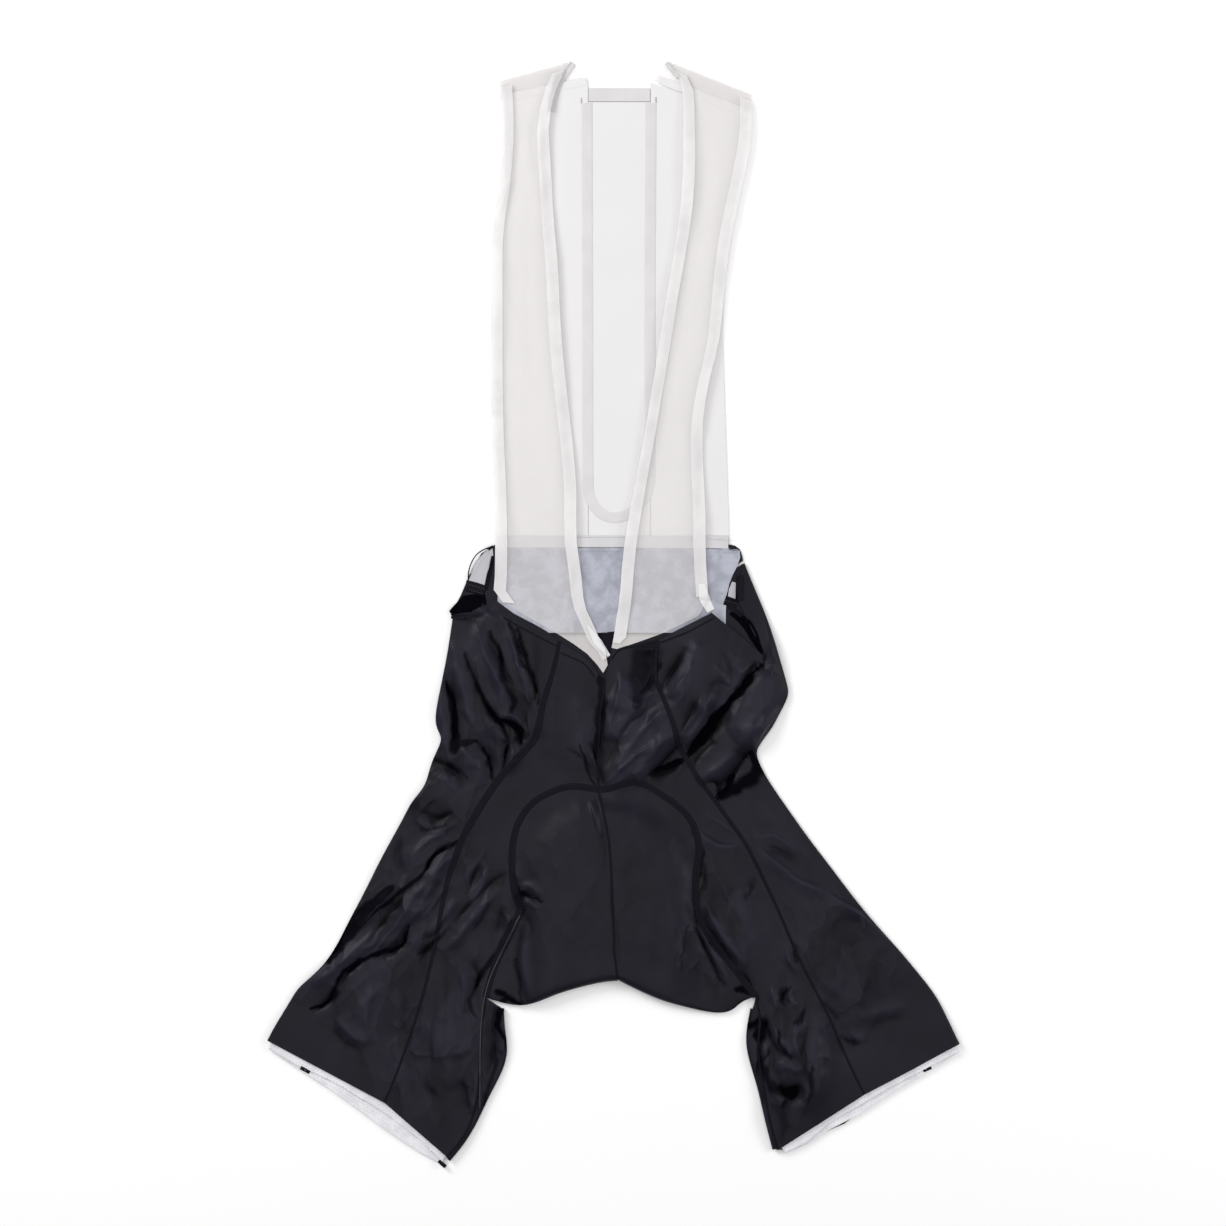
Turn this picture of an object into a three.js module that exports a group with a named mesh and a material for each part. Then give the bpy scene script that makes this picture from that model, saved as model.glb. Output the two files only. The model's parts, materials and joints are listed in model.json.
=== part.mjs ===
// Cycling bib shorts laid flat on their back: white mesh bib and straps, black stretch shorts, a seat pad.
// Millimetres, +Z up. The front of the garment faces up and its shoulders point along +Y.
// Every piece of cloth is a closed wall with its own thickness. The back lies on z = 0, the front lies on it.
import * as THREE from "three";

// Driving dimensions
const STRETCH_WALL = 1.2; // black stretch cloth
const MESH_WALL = 1.0; // white mesh, bindings and grippers
const LAYER_GAP = 0.3; // between cloths that lie on each other
const SEAM_INSET = 0.25; // each cloth stops this far short of its seam line
const SEAM_INSET_MOST = 0.3; // share of a short step that the inset may take
const WELD = 0.002; // corners closer than this are one vertex
const FRONT_REST = 2.9; // underside of the front where nothing lifts it
const GRIPPER_DEPTH = 25; // hem band, from its edge up the leg
const GRIPPER_LIFT = 1.6; // the band between front and back lifts the front by this
const GRIPPER_LIFT_END = { from: 29, to: 55 }; // the lift fades out over this distance above the hem
const GRIPPER_TURN = { past: 0.06, wall: 0.75 }; // turn past the last step, and its wall as a share of that
const BINDING_WIDE = 11;
const BINDING_MOST = 0.42; // share of a narrow strap that one binding may take
const PAD_LIFT = 8;
const PAD_CENTRE = { x: -7, y: -235, across: 80, up: 83 };
const PAD_EDGE = 24; // the pad's edge slopes up over this width
const PAD_SKIN_GAP = 0.4; // between the pad and the cloth over it
const PAD_CLEAR = 8; // the pad stays under the lowest cloth within this distance
const PAD_CLEAR_SPOTS = 8; // places round each point where that is looked at
const PAD_THINNEST = 1;
const GUSSET_TURN = 26; // how far the crotch cloth runs on under the seat
const GUSSET_TURN_AT_LEG = 0.4; // share of that beside the inseam
const INSEAM_UNDERLAP = 3; // the inner leg's strip underneath runs this far past the inseam
const SEAT_HANG = { deep: 10, power: 8 }; // the back's rows sag between the legs' folds near the hem
const FOLD_END = 1.5; // a fold fades past its ends over this many of its half widths
const SIDE_TURN_SHARE = 0.28; // share of the back that the side panel covers after its fold
const SHOULDER_TURN = 16; // how far a strap runs on under its shoulder fold
const BIB_REST = 1.3; // underside of the straps over the back mesh
const WAIST_REST = 2.8; // underside of the straps over the waist lining

// Grid counts. Cloths that share a seam share its points, so these add up along each seam.
const ROWS = 32;
const WAIST_ROWS = 4;
const CENTRE_ROWS = 10;
const ARCH_ROWS = 11;
const INSEAM_UPPER_ROWS = 4;
const INSEAM_LOWER_ROWS = ROWS - CENTRE_ROWS - ARCH_ROWS - INSEAM_UPPER_ROWS;
const GUSSET_ROWS = ARCH_ROWS + INSEAM_UPPER_ROWS;
const GUSSET_COLUMNS = 7;
const TOP_ROWS = 5; // rows over which the shaped top edge fades out
const FOLD_STEPS = 4;
const STRAP_ROWS = 30;

const BACK_ROWS = 8;
const PAD_COLUMNS = 8;
const GRIPPER_STEPS = 12;

// Places
const NECK = { top: 457, low: 445, thick: 1.6 };
const WAIST_SEAM = 61; // where the back mesh meets the shorts
const NECK_SPREAD = 13; // how far a strap's neckline runs in behind its shoulder fold
const NECK_SPREAD_START = 0.3; // share of the strap's width where that begins
const BACK_SEAMS = { left: -22, right: 32 };
const WAIST_BAND = { left: -102, right: 100, top: 68, low: 56 };
const LINING_LEFT = -101;
const PAD_REST = STRETCH_WALL + LAYER_GAP;
const PAD_FOOT = { left: -74, right: 76, y: -312 };
const PAD_INSET_SHARE = 0.065;
const PAD_CROWN = 2;

const BLACK = { color: 0x26242c, roughness: 0.62, metalness: 0 };
const WHITE_MESH = { color: 0xe9e6e6, roughness: 0.85, metalness: 0 };
const WHITE_BAND = { color: 0xf1f0f2, roughness: 0.8, metalness: 0 };
const GREY_MESH = { color: 0xb2b3bb, roughness: 0.85, metalness: 0 };
const GRIPPER = { color: 0xd8d8dc, roughness: 0.7, metalness: 0 };
const FOAM = { color: 0x55555c, roughness: 0.9, metalness: 0 };

// Turns rows of numbers into objects with the named columns.
function table(columns, rows) {
  const names = columns.split(" ");
  return rows.map((row) => Object.fromEntries(names.map((name, i) => [name, row[i]])));
}

// Sections of the left side panel, waist to hem: its outer fold and its front seam.
const SIDE_LEFT = table("foldX foldY seamX seamY", [
  [-140, -4, -47, -24],
  [-143, -24, -49, -35],
  [-146, -42, -52, -48],
  [-151, -66, -56, -62],
  [-155, -88, -61, -77],
  [-154, -100, -64, -93],
  [-149, -110, -68, -108],
  [-158, -127, -77, -119],
  [-164, -150, -88, -131],
  [-175, -162, -99, -143],
  [-184, -180, -112, -162],
  [-203, -214, -123, -180],
  [-216, -241, -132, -197],
  [-229, -265, -138, -214],
  [-238, -283, -144, -232],
  [-248, -300, -149, -255],
  [-261, -314, -154, -282],
  [-274, -325, -160, -310],
  [-282, -338, -167, -337],
  [-290, -351, -176, -365],
  [-296, -361, -187, -396],
  [-301, -371, -199, -425],
]);

// Sections of the right side panel, waist to hem: front seam, top of the folded-over front, the edge of that
// fold, the far bank of the hollow beside it, and the outer fold.
const SIDE_RIGHT = table("seamX seamY crownX crownY edgeX edgeY bankX bankY foldX foldY", [
  [38, -23, 85, 1, 130, -36, 108, 12, 114, 44],
  [37, -32, 86, -14, 132, -42, 124, -11, 120, 29],
  [36, -45, 86, -32, 130, -50, 133, -26, 128, 10],
  [37, -58, 82, -47, 122, -60, 137, -42, 136, -10],
  [41, -68, 77, -61, 112, -72, 138, -59, 143, -32],
  [46, -80, 72, -75, 101, -86, 135, -75, 149, -54],
  [51, -93, 68, -89, 90, -99, 128, -88, 153, -70],
  [54, -104, 66, -103, 82, -107, 120, -101, 146, -84],
  [57, -116, 70, -115, 86, -115, 114, -111, 138, -100],
  [65, -129, 78, -126, 92, -124, 112, -119, 128, -113],
  [75, -145, 88, -140, 100, -136, 115, -129, 124, -124],
  [88, -162, 100, -158, 112, -155, 125, -151, 136, -147],
  [97, -175, 111, -175, 125, -174, 140, -174, 154, -173],
  [106, -187, 122, -190, 138, -192, 155, -195, 171, -197],
  [116, -202, 134, -206, 152, -210, 170, -215, 188, -219],
  [129, -228, 148, -232, 167, -236, 187, -239, 206, -243],
  [145, -262, 166, -264, 187, -266, 207, -268, 228, -270],
  [158, -293, 181, -293, 204, -293, 226, -293, 249, -293],
  [173, -323, 196, -321, 220, -319, 243, -317, 267, -315],
  [187, -350, 210, -346, 234, -341, 257, -337, 281, -333],
  [202, -385, 224, -378, 247, -370, 270, -363, 292, -355],
  [218, -418, 239, -407, 260, -396, 280, -385, 301, -374],
]);

// Seam lines on the front, from the waist down.
const CENTRE_UPPER = table("x y", [[-7, -57], [-10, -75], [-12, -93], [-13, -119], [-13, -153]]);
const CENTRE_LOWER = table("x y", [
  [-13, -153], [-10, -168], [-7, -180], [-3, -206], [-1, -249], [1, -293], [4, -319],
]);
const ARCH_LEFT = table("x y", [
  [-13, -153], [-33, -150], [-47, -152], [-60, -158], [-70, -164], [-79, -175],
  [-85, -188], [-88, -205], [-88, -225], [-86, -243], [-81, -256],
]);
const ARCH_RIGHT = table("x y", [
  [-13, -153], [-3, -152], [10, -147], [23, -147], [36, -154], [49, -162],
  [60, -171], [68, -181], [73, -194], [74, -208], [72, -223], [71, -241], [73, -256],
]);
const INSEAM_UPPER_LEFT = table("x y", [[-81, -256], [-90, -280], [-99, -297], [-106, -315], [-111, -334]]);
const INSEAM_UPPER_RIGHT = table("x y", [[73, -256], [80, -275], [93, -293], [106, -310], [124, -333]]);

// Inner leg, crotch to hem: the inseam and the fold beside it.
const INNER_LEFT = table("seamX seamY foldX foldY", [
  [-111, -334, -95, -343],
  [-114, -352, -95, -357],
  [-115, -371, -90, -378],
  [-116, -390, -95, -396],
  [-117, -408, -104, -412],
  [-119, -427, -113, -430],
  [-126, -447, -121, -449],
  [-135, -461, -132, -465],
  [-145, -472, -142, -476],
]);
const INNER_RIGHT = table("seamX seamY foldX foldY", [
  [124, -333, 119, -343],
  [127, -350, 116, -357],
  [126, -367, 114, -371],
  [126, -385, 117, -387],
  [129, -404, 122, -402],
  [132, -420, 127, -420],
  [135, -437, 130, -436],
  [139, -453, 134, -452],
  [143, -466, 138, -466],
]);

// Bottom fold of the crotch, inseam to centre and centre to the right leg.
const CROTCH_LEFT = table("x y", [
  [-111, -334], [-99, -338], [-81, -342], [-65, -338], [-50, -331], [-33, -326], [-14, -321], [4, -319],
]);
const CROTCH_RIGHT = table("x y", [
  [124, -333], [111, -337], [103, -347], [86, -348], [58, -341], [40, -336], [22, -328], [4, -319],
]);

// Top edge of the back beside the waist opening, from the bib to where the side folds begin.
const WAIST_SIDE_LEFT = table("x y", [
  [-103, 60], [-113, 54], [-121, 45], [-128, 26], [-135, 12], [-142, -1],
]);
const WAIST_SIDE_RIGHT = table("x y", [[101, 60], [106, 59], [110, 56], [112, 51], [113, 46]]);
const SPINE = table("x y", [[-4, 60], [-4, -40], [-3, -160], [0, -240]]);

// Top edge of the front: side panel from its seam to its fold, front panel from its seam to the middle.
const TOP_LEFT_SIDE = table("x y", [
  [-47, -24], [-60, -14], [-73, -7], [-94, 4], [-101, 11], [-109, 13], [-118, 6], [-126, 1], [-140, -4],
]);
const TOP_LEFT_FRONT = table("x y", [[-47, -24], [-34, -32], [-20, -41], [-13, -53], [-7, -57]]);
const TOP_RIGHT_FRONT = table("x y", [[38, -23], [26, -26], [14, -29], [3, -34], [-4, -43], [-7, -57]]);

// Hem bands, outer fold to inner fold: front edge and rear edge.
const HEM_LEFT = table("frontX frontY rearX rearY", [
  [-299, -378, -299, -379],
  [-274, -393, -272, -397],
  [-247, -405, -247, -413],
  [-221, -420, -222, -431],
  [-194, -437, -196, -450],
  [-168, -457, -170, -467],
  [-149, -476, -150, -478],
]);
const HEM_RIGHT = table("frontX frontY rearX rearY", [
  [299, -381, 299, -382],
  [268, -397, 270, -400],
  [241, -411, 241, -417],
  [214, -427, 212, -436],
  [188, -442, 185, -450],
  [168, -459, 168, -461],
  [149, -468, 149, -469],
]);

// Straps, shoulder to waist: outer edge and inner edge. The last rows run along the top of the shorts.
const STRAP_LEFT = table("outX outY inX inY", [
  [-99, 464, -37, 481],
  [-98, 447, -48, 461],
  [-97, 412, -56, 425],
  [-100, 372, -54, 385],
  [-106, 329, -52, 345],
  [-107, 290, -48, 300],
  [-107, 247, -46, 255],
  [-107, 200, -42, 207],
  [-106, 151, -36, 155],
  [-104, 110, -32, 108],
  [-103, 70, -32, 66],
  [-103, 38, -28, 36],
  [-102, 15, -25, 8],
  [-73, -4, -18, -8],
  [-45, -20, -12, -22],
  [-22, -36, -7, -32],
  [-9, -52, -5, -45],
]);
const STRAP_RIGHT = table("outX outY inX inY", [
  [120, 452, 47, 481],
  [120, 436, 59, 460],
  [119, 408, 60, 425],
  [114, 381, 60, 385],
  [106, 345, 57, 345],
  [100, 312, 51, 306],
  [96, 275, 44, 265],
  [92, 238, 38, 225],
  [84, 205, 32, 188],
  [78, 170, 26, 152],
  [78, 130, 19, 115],
  [80, 90, 13, 84],
  [80, 50, 8, 50],
  [81, 6, 5, 14],
  [54, -12, 2, -6],
  [27, -23, 0, -20],
  [3, -31, -2, -30],
]);
// Soft waves along a strap: height and lengths over which each turns by one radian.
const STRAP_LIE = 1.6;
const STRAP_WAVES = table("high acrossX alongY", [[0.9, 60, 31], [0.6, -25, 17]]);
const STRAP_FREE_SHARE = { left: 12 / 16, right: 13 / 16 }; // above this the outer edge hangs free

// Back mesh: seams to the centre strip and outer edges, neck to waist.
const BACK_LEFT = table("outX outY inX inY", [
  [-96, 446, -22, 462],
  [-93, 400, -22, 400],
  [-98, 320, -22, 320],
  [-101, 240, -22, 240],
  [-101, 150, -22, 150],
  [-99, 61, -22, 61],
]);
const BACK_RIGHT = table("outX outY inX inY", [
  [117, 433, 32, 462],
  [113, 400, 32, 400],
  [101, 320, 32, 320],
  [95, 255, 32, 240],
  [98, 150, 32, 150],
  [101, 61, 32, 61],
]);
const ELASTIC_LEFT = table("outX outY inX inY", [
  [-105, 57, -104, 47],
  [-112, 52, -107, 43],
  [-119, 44, -110, 34],
  [-125, 32, -112, 24],
  [-128, 22, -114, 17],
]);
const ELASTIC_RIGHT = table("outX outY inX inY", [
  [110, 26, 103, 28], [108, 20, 100, 21], [106, 12, 99, 12],
]);
const LINING_RIGHT_EDGE = table("x y", [
  [110, 55], [110, 46], [105, 36], [101, 26], [98, 12], [98, -6], [97, -17],
]);

// Folds of the front: from, to, half width, height in millimetres.
const RIDGES = table("fromX fromY toX toY wide high", [
  [86, -12, 60, -84, 24, 8],
  [108, -30, 80, -80, 12, 4],
  [140, -30, 118, -98, 15, 7],
  [118, -104, 86, -140, 12, 4],
  [30, -60, -2, -140, 9, 3],
  [45, -110, 4, -150, 8, 3],
  [-30, -50, -30, -130, 12, 2],
  [-100, -18, -66, -96, 8, 4],
  [-122, -24, -92, -120, 9, 4],
  [-146, -70, -124, -150, 8, 3],
  [-82, -20, -58, -80, 6, 3],
  [-166, -160, -120, -176, 12, 3],
  [-150, -215, -230, -300, 8, 3],
  [-130, -250, -200, -320, 8, 2],
  [-170, -330, -120, -390, 12, 2],
  [120, -205, 215, -262, 10, 2],
  [150, -350, 172, -410, 14, 5],
  [135, -380, 142, -440, 8, 3],
]);

// Hollows of the front: the share of the height there that each takes away.
const HOLLOWS = table("fromX fromY toX toY wide share", [
  [128, -42, 93, -86, 7, 0.95],
  [93, -86, 62, -119, 7, 0.95],
  [62, -119, 34, -136, 6, 0.8],
  [126, -122, 92, -150, 9, 0.9],
  [92, -150, 76, -156, 6, 0.6],
  [-110, -24, -80, -110, 5, 0.6],
  [-148, -50, -132, -130, 5, 0.6],
  [-98, -90, -80, -112, 4, 0.7],
  [-158, -127, -120, -150, 5, 0.5],
  [-171, -172, -142, -178, 4, 0.5],
  [-160, -222, -229, -288, 5, 0.6],
  [-180, -270, -262, -330, 5, 0.6],
  [76, -262, 122, -332, 5, 0.9],
  [-82, -262, -84, -336, 5, 0.7],
  [156, -335, 166, -380, 5, 0.6],
  [-36, -75, -12, -150, 5, 0.4],
]);

const smooth = (low, high, value) => THREE.MathUtils.smoothstep(value, low, high);
const plan = (x, y) => new THREE.Vector2(x, y);
const mix = (a, b, share) => a.clone().lerp(b, share);

// A smooth line through one pair of columns of a table, as steps + 1 points, the same share of a row apart.
function line(rows, steps, xName = "x", yName = "y") {
  const curve = new THREE.SplineCurve(rows.map((row) => plan(row[xName], row[yName])));
  return curve.getPoints(steps);
}

// How much of a fold is left at a place: 1 on its line, fading sideways and past its ends.
function foldShare(fold, x, y) {
  const from = plan(fold.fromX, fold.fromY);
  const along = plan(fold.toX, fold.toY).sub(from);
  const length = along.length();
  const away = plan(x, y).sub(from);
  const reach = away.dot(along) / length;
  const beside = Math.abs(away.cross(along)) / length;
  const past = Math.max(0, -reach, reach - length);
  return Math.exp(-((beside / fold.wide) ** 2) - (past / (FOLD_END * fold.wide)) ** 2);
}

// Height of the pad under the front, above the front's rest.
function padRise(x, y) {
  const across = (x - PAD_CENTRE.x) / PAD_CENTRE.across;
  const up = Math.max(0, y - PAD_CENTRE.y) / PAD_CENTRE.up;
  const inside = PAD_CENTRE.across * (1 - Math.hypot(across, up));
  return PAD_LIFT * smooth(0, PAD_EDGE, inside);
}

// Distance up the leg from a hem, from the line between the hem's two ends.
function aboveHem(hem, x, y) {
  const outer = plan(hem[0].frontX, hem[0].frontY);
  const inner = plan(hem.at(-1).frontX, hem.at(-1).frontY);
  const along = inner.sub(outer).normalize();
  return Math.abs(plan(x, y).sub(outer).cross(along));
}

// Underside of the black front at a place.
function frontUnder(x, y) {
  const hem = x < 0 ? HEM_LEFT : HEM_RIGHT;
  const overGripper = 1 - smooth(GRIPPER_LIFT_END.from, GRIPPER_LIFT_END.to, aboveHem(hem, x, y));
  let rise = padRise(x, y);
  for (const ridge of RIDGES) rise += ridge.high * foldShare(ridge, x, y);
  for (const hollow of HOLLOWS) rise *= 1 - hollow.share * foldShare(hollow, x, y);
  return FRONT_REST + rise + GRIPPER_LIFT * overGripper;
}

// Underside of a strap at a place: waves along it that fade out at the waist and at the shoulder.
function strapUnder(x, y) {
  let wave = STRAP_LIE;
  for (const { high, acrossX, alongY } of STRAP_WAVES) wave += high * Math.sin(y / alongY + x / acrossX);
  const overBib = smooth(WAIST_BAND.top + 10, WAIST_BAND.top + 42, y);
  const free = smooth(0, WAIST_SEAM, y) * (1 - smooth(NECK.low - 15, NECK.top + 8, y));
  return THREE.MathUtils.lerp(WAIST_REST, BIB_REST, overBib) + wave * free;
}

// A cloth at one point: its outer and its inner face.
const lying = (point, under, wall) => ({
  outer: new THREE.Vector3(point.x, point.y, under + wall),
  inner: new THREE.Vector3(point.x, point.y, under),
});

// Cloth on the floor with its outer face down.
const onFloor = (point, wall) => ({
  outer: new THREE.Vector3(point.x, point.y, 0),
  inner: new THREE.Vector3(point.x, point.y, wall),
});

// Cloth that turns under at a fold: half a turn from the front's height down to the floor.
// The fold's outermost point lies on the outline; outward is the direction in plan that it faces.
function turning(outline, outward, under, wall) {
  const radius = (under + wall) / 2;
  const centre = outline.clone().addScaledVector(outward, -radius);
  const steps = [];
  for (let k = 0; k <= FOLD_STEPS; k++) {
    const angle = Math.PI / 2 - (Math.PI * k) / FOLD_STEPS;
    const at = (r) => {
      const p = centre.clone().addScaledVector(outward, r * Math.cos(angle));
      return new THREE.Vector3(p.x, p.y, radius + r * Math.sin(angle));
    };
    steps.push({ outer: at(radius), inner: at(radius - wall) });
  }
  return { centre, steps };
}

// Directions in plan, square to a line of points, on the side away from the given point.
function outwardOf(points, inside) {
  return points.map((point, i) => {
    const along = points[Math.min(i + 1, points.length - 1)].clone().sub(points[Math.max(i - 1, 0)]);
    const out = plan(along.y, -along.x).normalize();
    return out.dot(point.clone().sub(inside[i])) < 0 ? out.negate() : out;
  });
}

// Draws the rim of a grid of points in by the seam inset, or by part of a step where steps are short.
function inset(grid) {
  const pull = (cell, next) => {
    for (const face of ["outer", "inner"]) {
      const step = next[face].clone().sub(cell[face]).setZ(0);
      const length = Math.max(step.length(), SEAM_INSET / 10);
      cell[face].addScaledVector(step, Math.min(SEAM_INSET / length, SEAM_INSET_MOST));
    }
  };
  const last = grid.length - 1;
  const end = grid[0].length - 1;
  grid.forEach((row) => pull(row[0], row[1]));
  grid.forEach((row) => pull(row[end], row[end - 1]));
  grid[0].forEach((cell, j) => pull(cell, grid[1][j]));
  grid[last].forEach((cell, j) => pull(cell, grid[last - 1][j]));
  return grid;
}

// A closed wall from a grid of points with an outer and an inner face.
function wall(grid, closedRound = false) {
  const positions = [];
  const seen = new Map();
  const vertex = (p) => {
    const key = [p.x, p.y, p.z].map((v) => Math.round(v / WELD)).join();
    if (!seen.has(key)) {
      seen.set(key, positions.length / 3);
      positions.push(p.x, p.y, p.z);
    }
    return seen.get(key);
  };
  const triangles = [];
  const triangle = (...corners) => {
    const [a, b, c] = corners.map(vertex);
    if (a !== b && b !== c && c !== a) triangles.push(a, b, c);
  };
  const quad = (a, b, c, d) => {
    triangle(a, b, c);
    triangle(a, c, d);
  };
  const rows = grid.length;
  const columns = grid[0].length;
  const rowSteps = closedRound ? rows : rows - 1;
  for (let i = 0; i < rowSteps; i++) {
    const here = grid[i];
    const next = grid[(i + 1) % rows];
    for (let j = 0; j < columns - 1; j++) {
      quad(here[j].outer, next[j].outer, next[j + 1].outer, here[j + 1].outer);
      quad(here[j].inner, here[j + 1].inner, next[j + 1].inner, next[j].inner);
    }
    const end = columns - 1;
    quad(here[0].outer, here[0].inner, next[0].inner, next[0].outer);
    quad(here[end].outer, next[end].outer, next[end].inner, here[end].inner);
  }
  if (!closedRound) {
    const last = rows - 1;
    for (let j = 0; j < columns - 1; j++) {
      quad(grid[0][j].outer, grid[0][j + 1].outer, grid[0][j + 1].inner, grid[0][j].inner);
      quad(grid[last][j].outer, grid[last][j].inner, grid[last][j + 1].inner, grid[last][j + 1].outer);
    }
  }
  const geometry = new THREE.BufferGeometry();
  geometry.setAttribute("position", new THREE.Float32BufferAttribute(positions, 3));
  geometry.setIndex(volumeOf(positions, triangles) < 0 ? triangles.reverse() : triangles);
  geometry.computeVertexNormals();
  return geometry;
}

function volumeOf(positions, triangles) {
  const corner = (i) => new THREE.Vector3().fromArray(positions, 3 * i);
  let six = 0;
  for (let i = 0; i < triangles.length; i += 3) {
    six += corner(triangles[i]).dot(corner(triangles[i + 1]).cross(corner(triangles[i + 2])));
  }
  return six / 6;
}

const garment = new THREE.Group();

function add(name, finish, geometry) {
  const mesh = new THREE.Mesh(geometry, new THREE.MeshStandardMaterial(finish));
  mesh.name = name;
  garment.add(mesh);
}

// How far a point of row i is drawn to the shaped top edge, of which top holds the points across.
function drawnToTop(top, i, j) {
  const straight = mix(top[0], top.at(-1), j / (top.length - 1));
  const share = Math.max(0, 1 - i / TOP_ROWS) ** 2;
  return top[j].clone().sub(straight).multiplyScalar(share);
}

// A flat or raised cloth between two lines, straight across but for a shaped top edge.
function between(start, end, columns, under, thick, top = null) {
  return start.map((point, i) => {
    const row = [];
    for (let j = 0; j <= columns; j++) {
      const p = mix(point, end[i], j / columns);
      if (top) p.add(drawnToTop(top, i, j));
      row.push(lying(p, under(p.x, p.y), thick));
    }
    return row;
  });
}

// Everything on one leg's side that shares seams: front, side, inner leg, gusset and back.
function shortsHalf(side, lines, counts) {
  const { seam, fold, crossings, arch, inseamUpper, inseam, innerFold, crotch, waistSide } = lines;
  const centreUpper = line(CENTRE_UPPER, CENTRE_ROWS);
  const centreLower = line(CENTRE_LOWER, GUSSET_ROWS);
  const frontEdge = [...centreUpper, ...arch.slice(1), ...inseamUpper.slice(1), ...inseam.slice(1)];
  const frontTop = line(lines.frontTop, counts.front);
  const front = between(seam, frontEdge, counts.front, frontUnder, STRETCH_WALL, frontTop);
  add(`front_panel_${side}`, BLACK, wall(inset(front)));

  // Gusset: rows from the arch and the inseam to the centre seam, drawn towards the crotch fold.
  const gussetEdge = [...arch, ...inseamUpper.slice(1)];
  const crotchOut = outwardOf(crotch, crotch.map((p) => plan(p.x, p.y + 1)));
  crotchOut[0] = gussetEdge.at(-1).clone().sub(gussetEdge.at(-2)).normalize();
  crotchOut[GUSSET_COLUMNS] = centreLower.at(-1).clone().sub(centreLower.at(-2)).normalize();
  const crotchTurns = crotch.map((p, j) => turning(p, crotchOut[j], frontUnder(p.x, p.y), STRETCH_WALL));
  const gusset = gussetEdge.map((start, i) => {
    const row = [];
    for (let j = 0; j <= GUSSET_COLUMNS; j++) {
      const share = j / GUSSET_COLUMNS;
      const onSeam = j === 0 || j === GUSSET_COLUMNS;
      const straight = mix(start, centreLower[i], share);
      const foot = mix(gussetEdge[GUSSET_ROWS], centreLower[GUSSET_ROWS], share);
      const drawn = onSeam ? 0 : (i / GUSSET_ROWS) ** 3;
      const p = straight.addScaledVector(crotchTurns[j].centre.clone().sub(foot), drawn);
      row.push(lying(p, frontUnder(p.x, p.y), STRETCH_WALL));
    }
    return row;
  });
  gusset.pop();
  for (let k = 0; k <= FOLD_STEPS; k++) gusset.push(crotchTurns.map((turn) => turn.steps[k]));
  const gussetBack = crotchTurns.map((turn, j) => {
    const share = THREE.MathUtils.lerp(GUSSET_TURN_AT_LEG, 1, j / GUSSET_COLUMNS);
    return turn.centre.clone().addScaledVector(crotchOut[j], -GUSSET_TURN * share);
  });
  gusset.push(gussetBack.map((p) => onFloor(p, STRETCH_WALL)));
  add(`gusset_${side}`, BLACK, wall(inset(gusset)));

  // Inner leg: inseam, fold, and a strip under the leg that runs a little past the inseam.
  const innerOut = outwardOf(innerFold, inseam);
  const innerBack = [];
  const inner = inseam.map((start, i) => {
    const under = frontUnder(innerFold[i].x, innerFold[i].y);
    const turn = turning(innerFold[i], innerOut[i], under, STRETCH_WALL);
    const back = mix(turn.centre, start, 1 + INSEAM_UNDERLAP / turn.centre.distanceTo(start));
    innerBack.push(back);
    const half = mix(start, turn.centre, 0.5);
    return [
      lying(start, frontUnder(start.x, start.y), STRETCH_WALL),
      lying(half, frontUnder(half.x, half.y), STRETCH_WALL),
      ...turn.steps,
      onFloor(back, STRETCH_WALL),
    ];
  });
  add(`inner_leg_${side}`, BLACK, wall(inset(inner)));

  // Back: from the side panel's far edge to the spine, the gusset and the inner leg.
  const spine = line([...SPINE, gussetBack.at(-1)], WAIST_ROWS + ROWS - GUSSET_COLUMNS - INSEAM_LOWER_ROWS);
  const backEdge = [...spine.slice(0, -1), ...gussetBack.reverse(), ...innerBack];
  const lower = backEdge.slice(WAIST_ROWS + 1);
  const foldOut = outwardOf(fold, seam);
  const sideTop = lines.sideTop && line(lines.sideTop, counts.side[0]);
  const sideBack = [];
  const sideGrid = fold.map((point, i) => {
    const under = frontUnder(point.x, point.y);
    const turn = turning(point, foldOut[i], under, STRETCH_WALL);
    const back = mix(turn.centre, lower[i], SIDE_TURN_SHARE);
    sideBack.push(back);
    const stops = [seam[i], ...crossings.map((c) => c[i]), turn.centre];
    const row = counts.side.flatMap((steps, k) => (
      Array.from({ length: steps }, (_, step) => mix(stops[k], stops[k + 1], step / steps))
    ));
    if (sideTop) row.forEach((p, j) => p.add(drawnToTop(sideTop, i, j)));
    return [
      ...row.map((p) => lying(p, frontUnder(p.x, p.y), STRETCH_WALL)),
      ...turn.steps,
      onFloor(back, STRETCH_WALL),
    ];
  });
  add(`side_panel_${side}`, BLACK, wall(inset(sideGrid)));

  const backStart = [...waistSide, ...sideBack];
  const back = backStart.map((start, i) => {
    const hang = SEAT_HANG.deep * (i / (backStart.length - 1)) ** SEAT_HANG.power;
    return [0, 0.5, 1].map((share) => {
      const p = mix(start, backEdge[i], share);
      p.y -= hang * Math.sin(Math.PI * share);
      return lying(p, 0, STRETCH_WALL);
    });
  });
  add(`back_panel_${side}`, BLACK, wall(inset(back)));
}

function leftHalf() {
  const crotch = line(CROTCH_LEFT, GUSSET_COLUMNS);
  shortsHalf("left", {
    seam: line(SIDE_LEFT, ROWS, "seamX", "seamY"),
    fold: line(SIDE_LEFT, ROWS, "foldX", "foldY"),
    crossings: [],
    arch: line(ARCH_LEFT, ARCH_ROWS),
    inseamUpper: line(INSEAM_UPPER_LEFT, INSEAM_UPPER_ROWS),
    inseam: line(INNER_LEFT, INSEAM_LOWER_ROWS, "seamX", "seamY"),
    innerFold: line(INNER_LEFT, INSEAM_LOWER_ROWS, "foldX", "foldY"),
    crotch,
    waistSide: line(WAIST_SIDE_LEFT, WAIST_ROWS),
    frontTop: TOP_LEFT_FRONT,
    sideTop: TOP_LEFT_SIDE,
  }, { front: 6, side: [9] });
}

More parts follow.
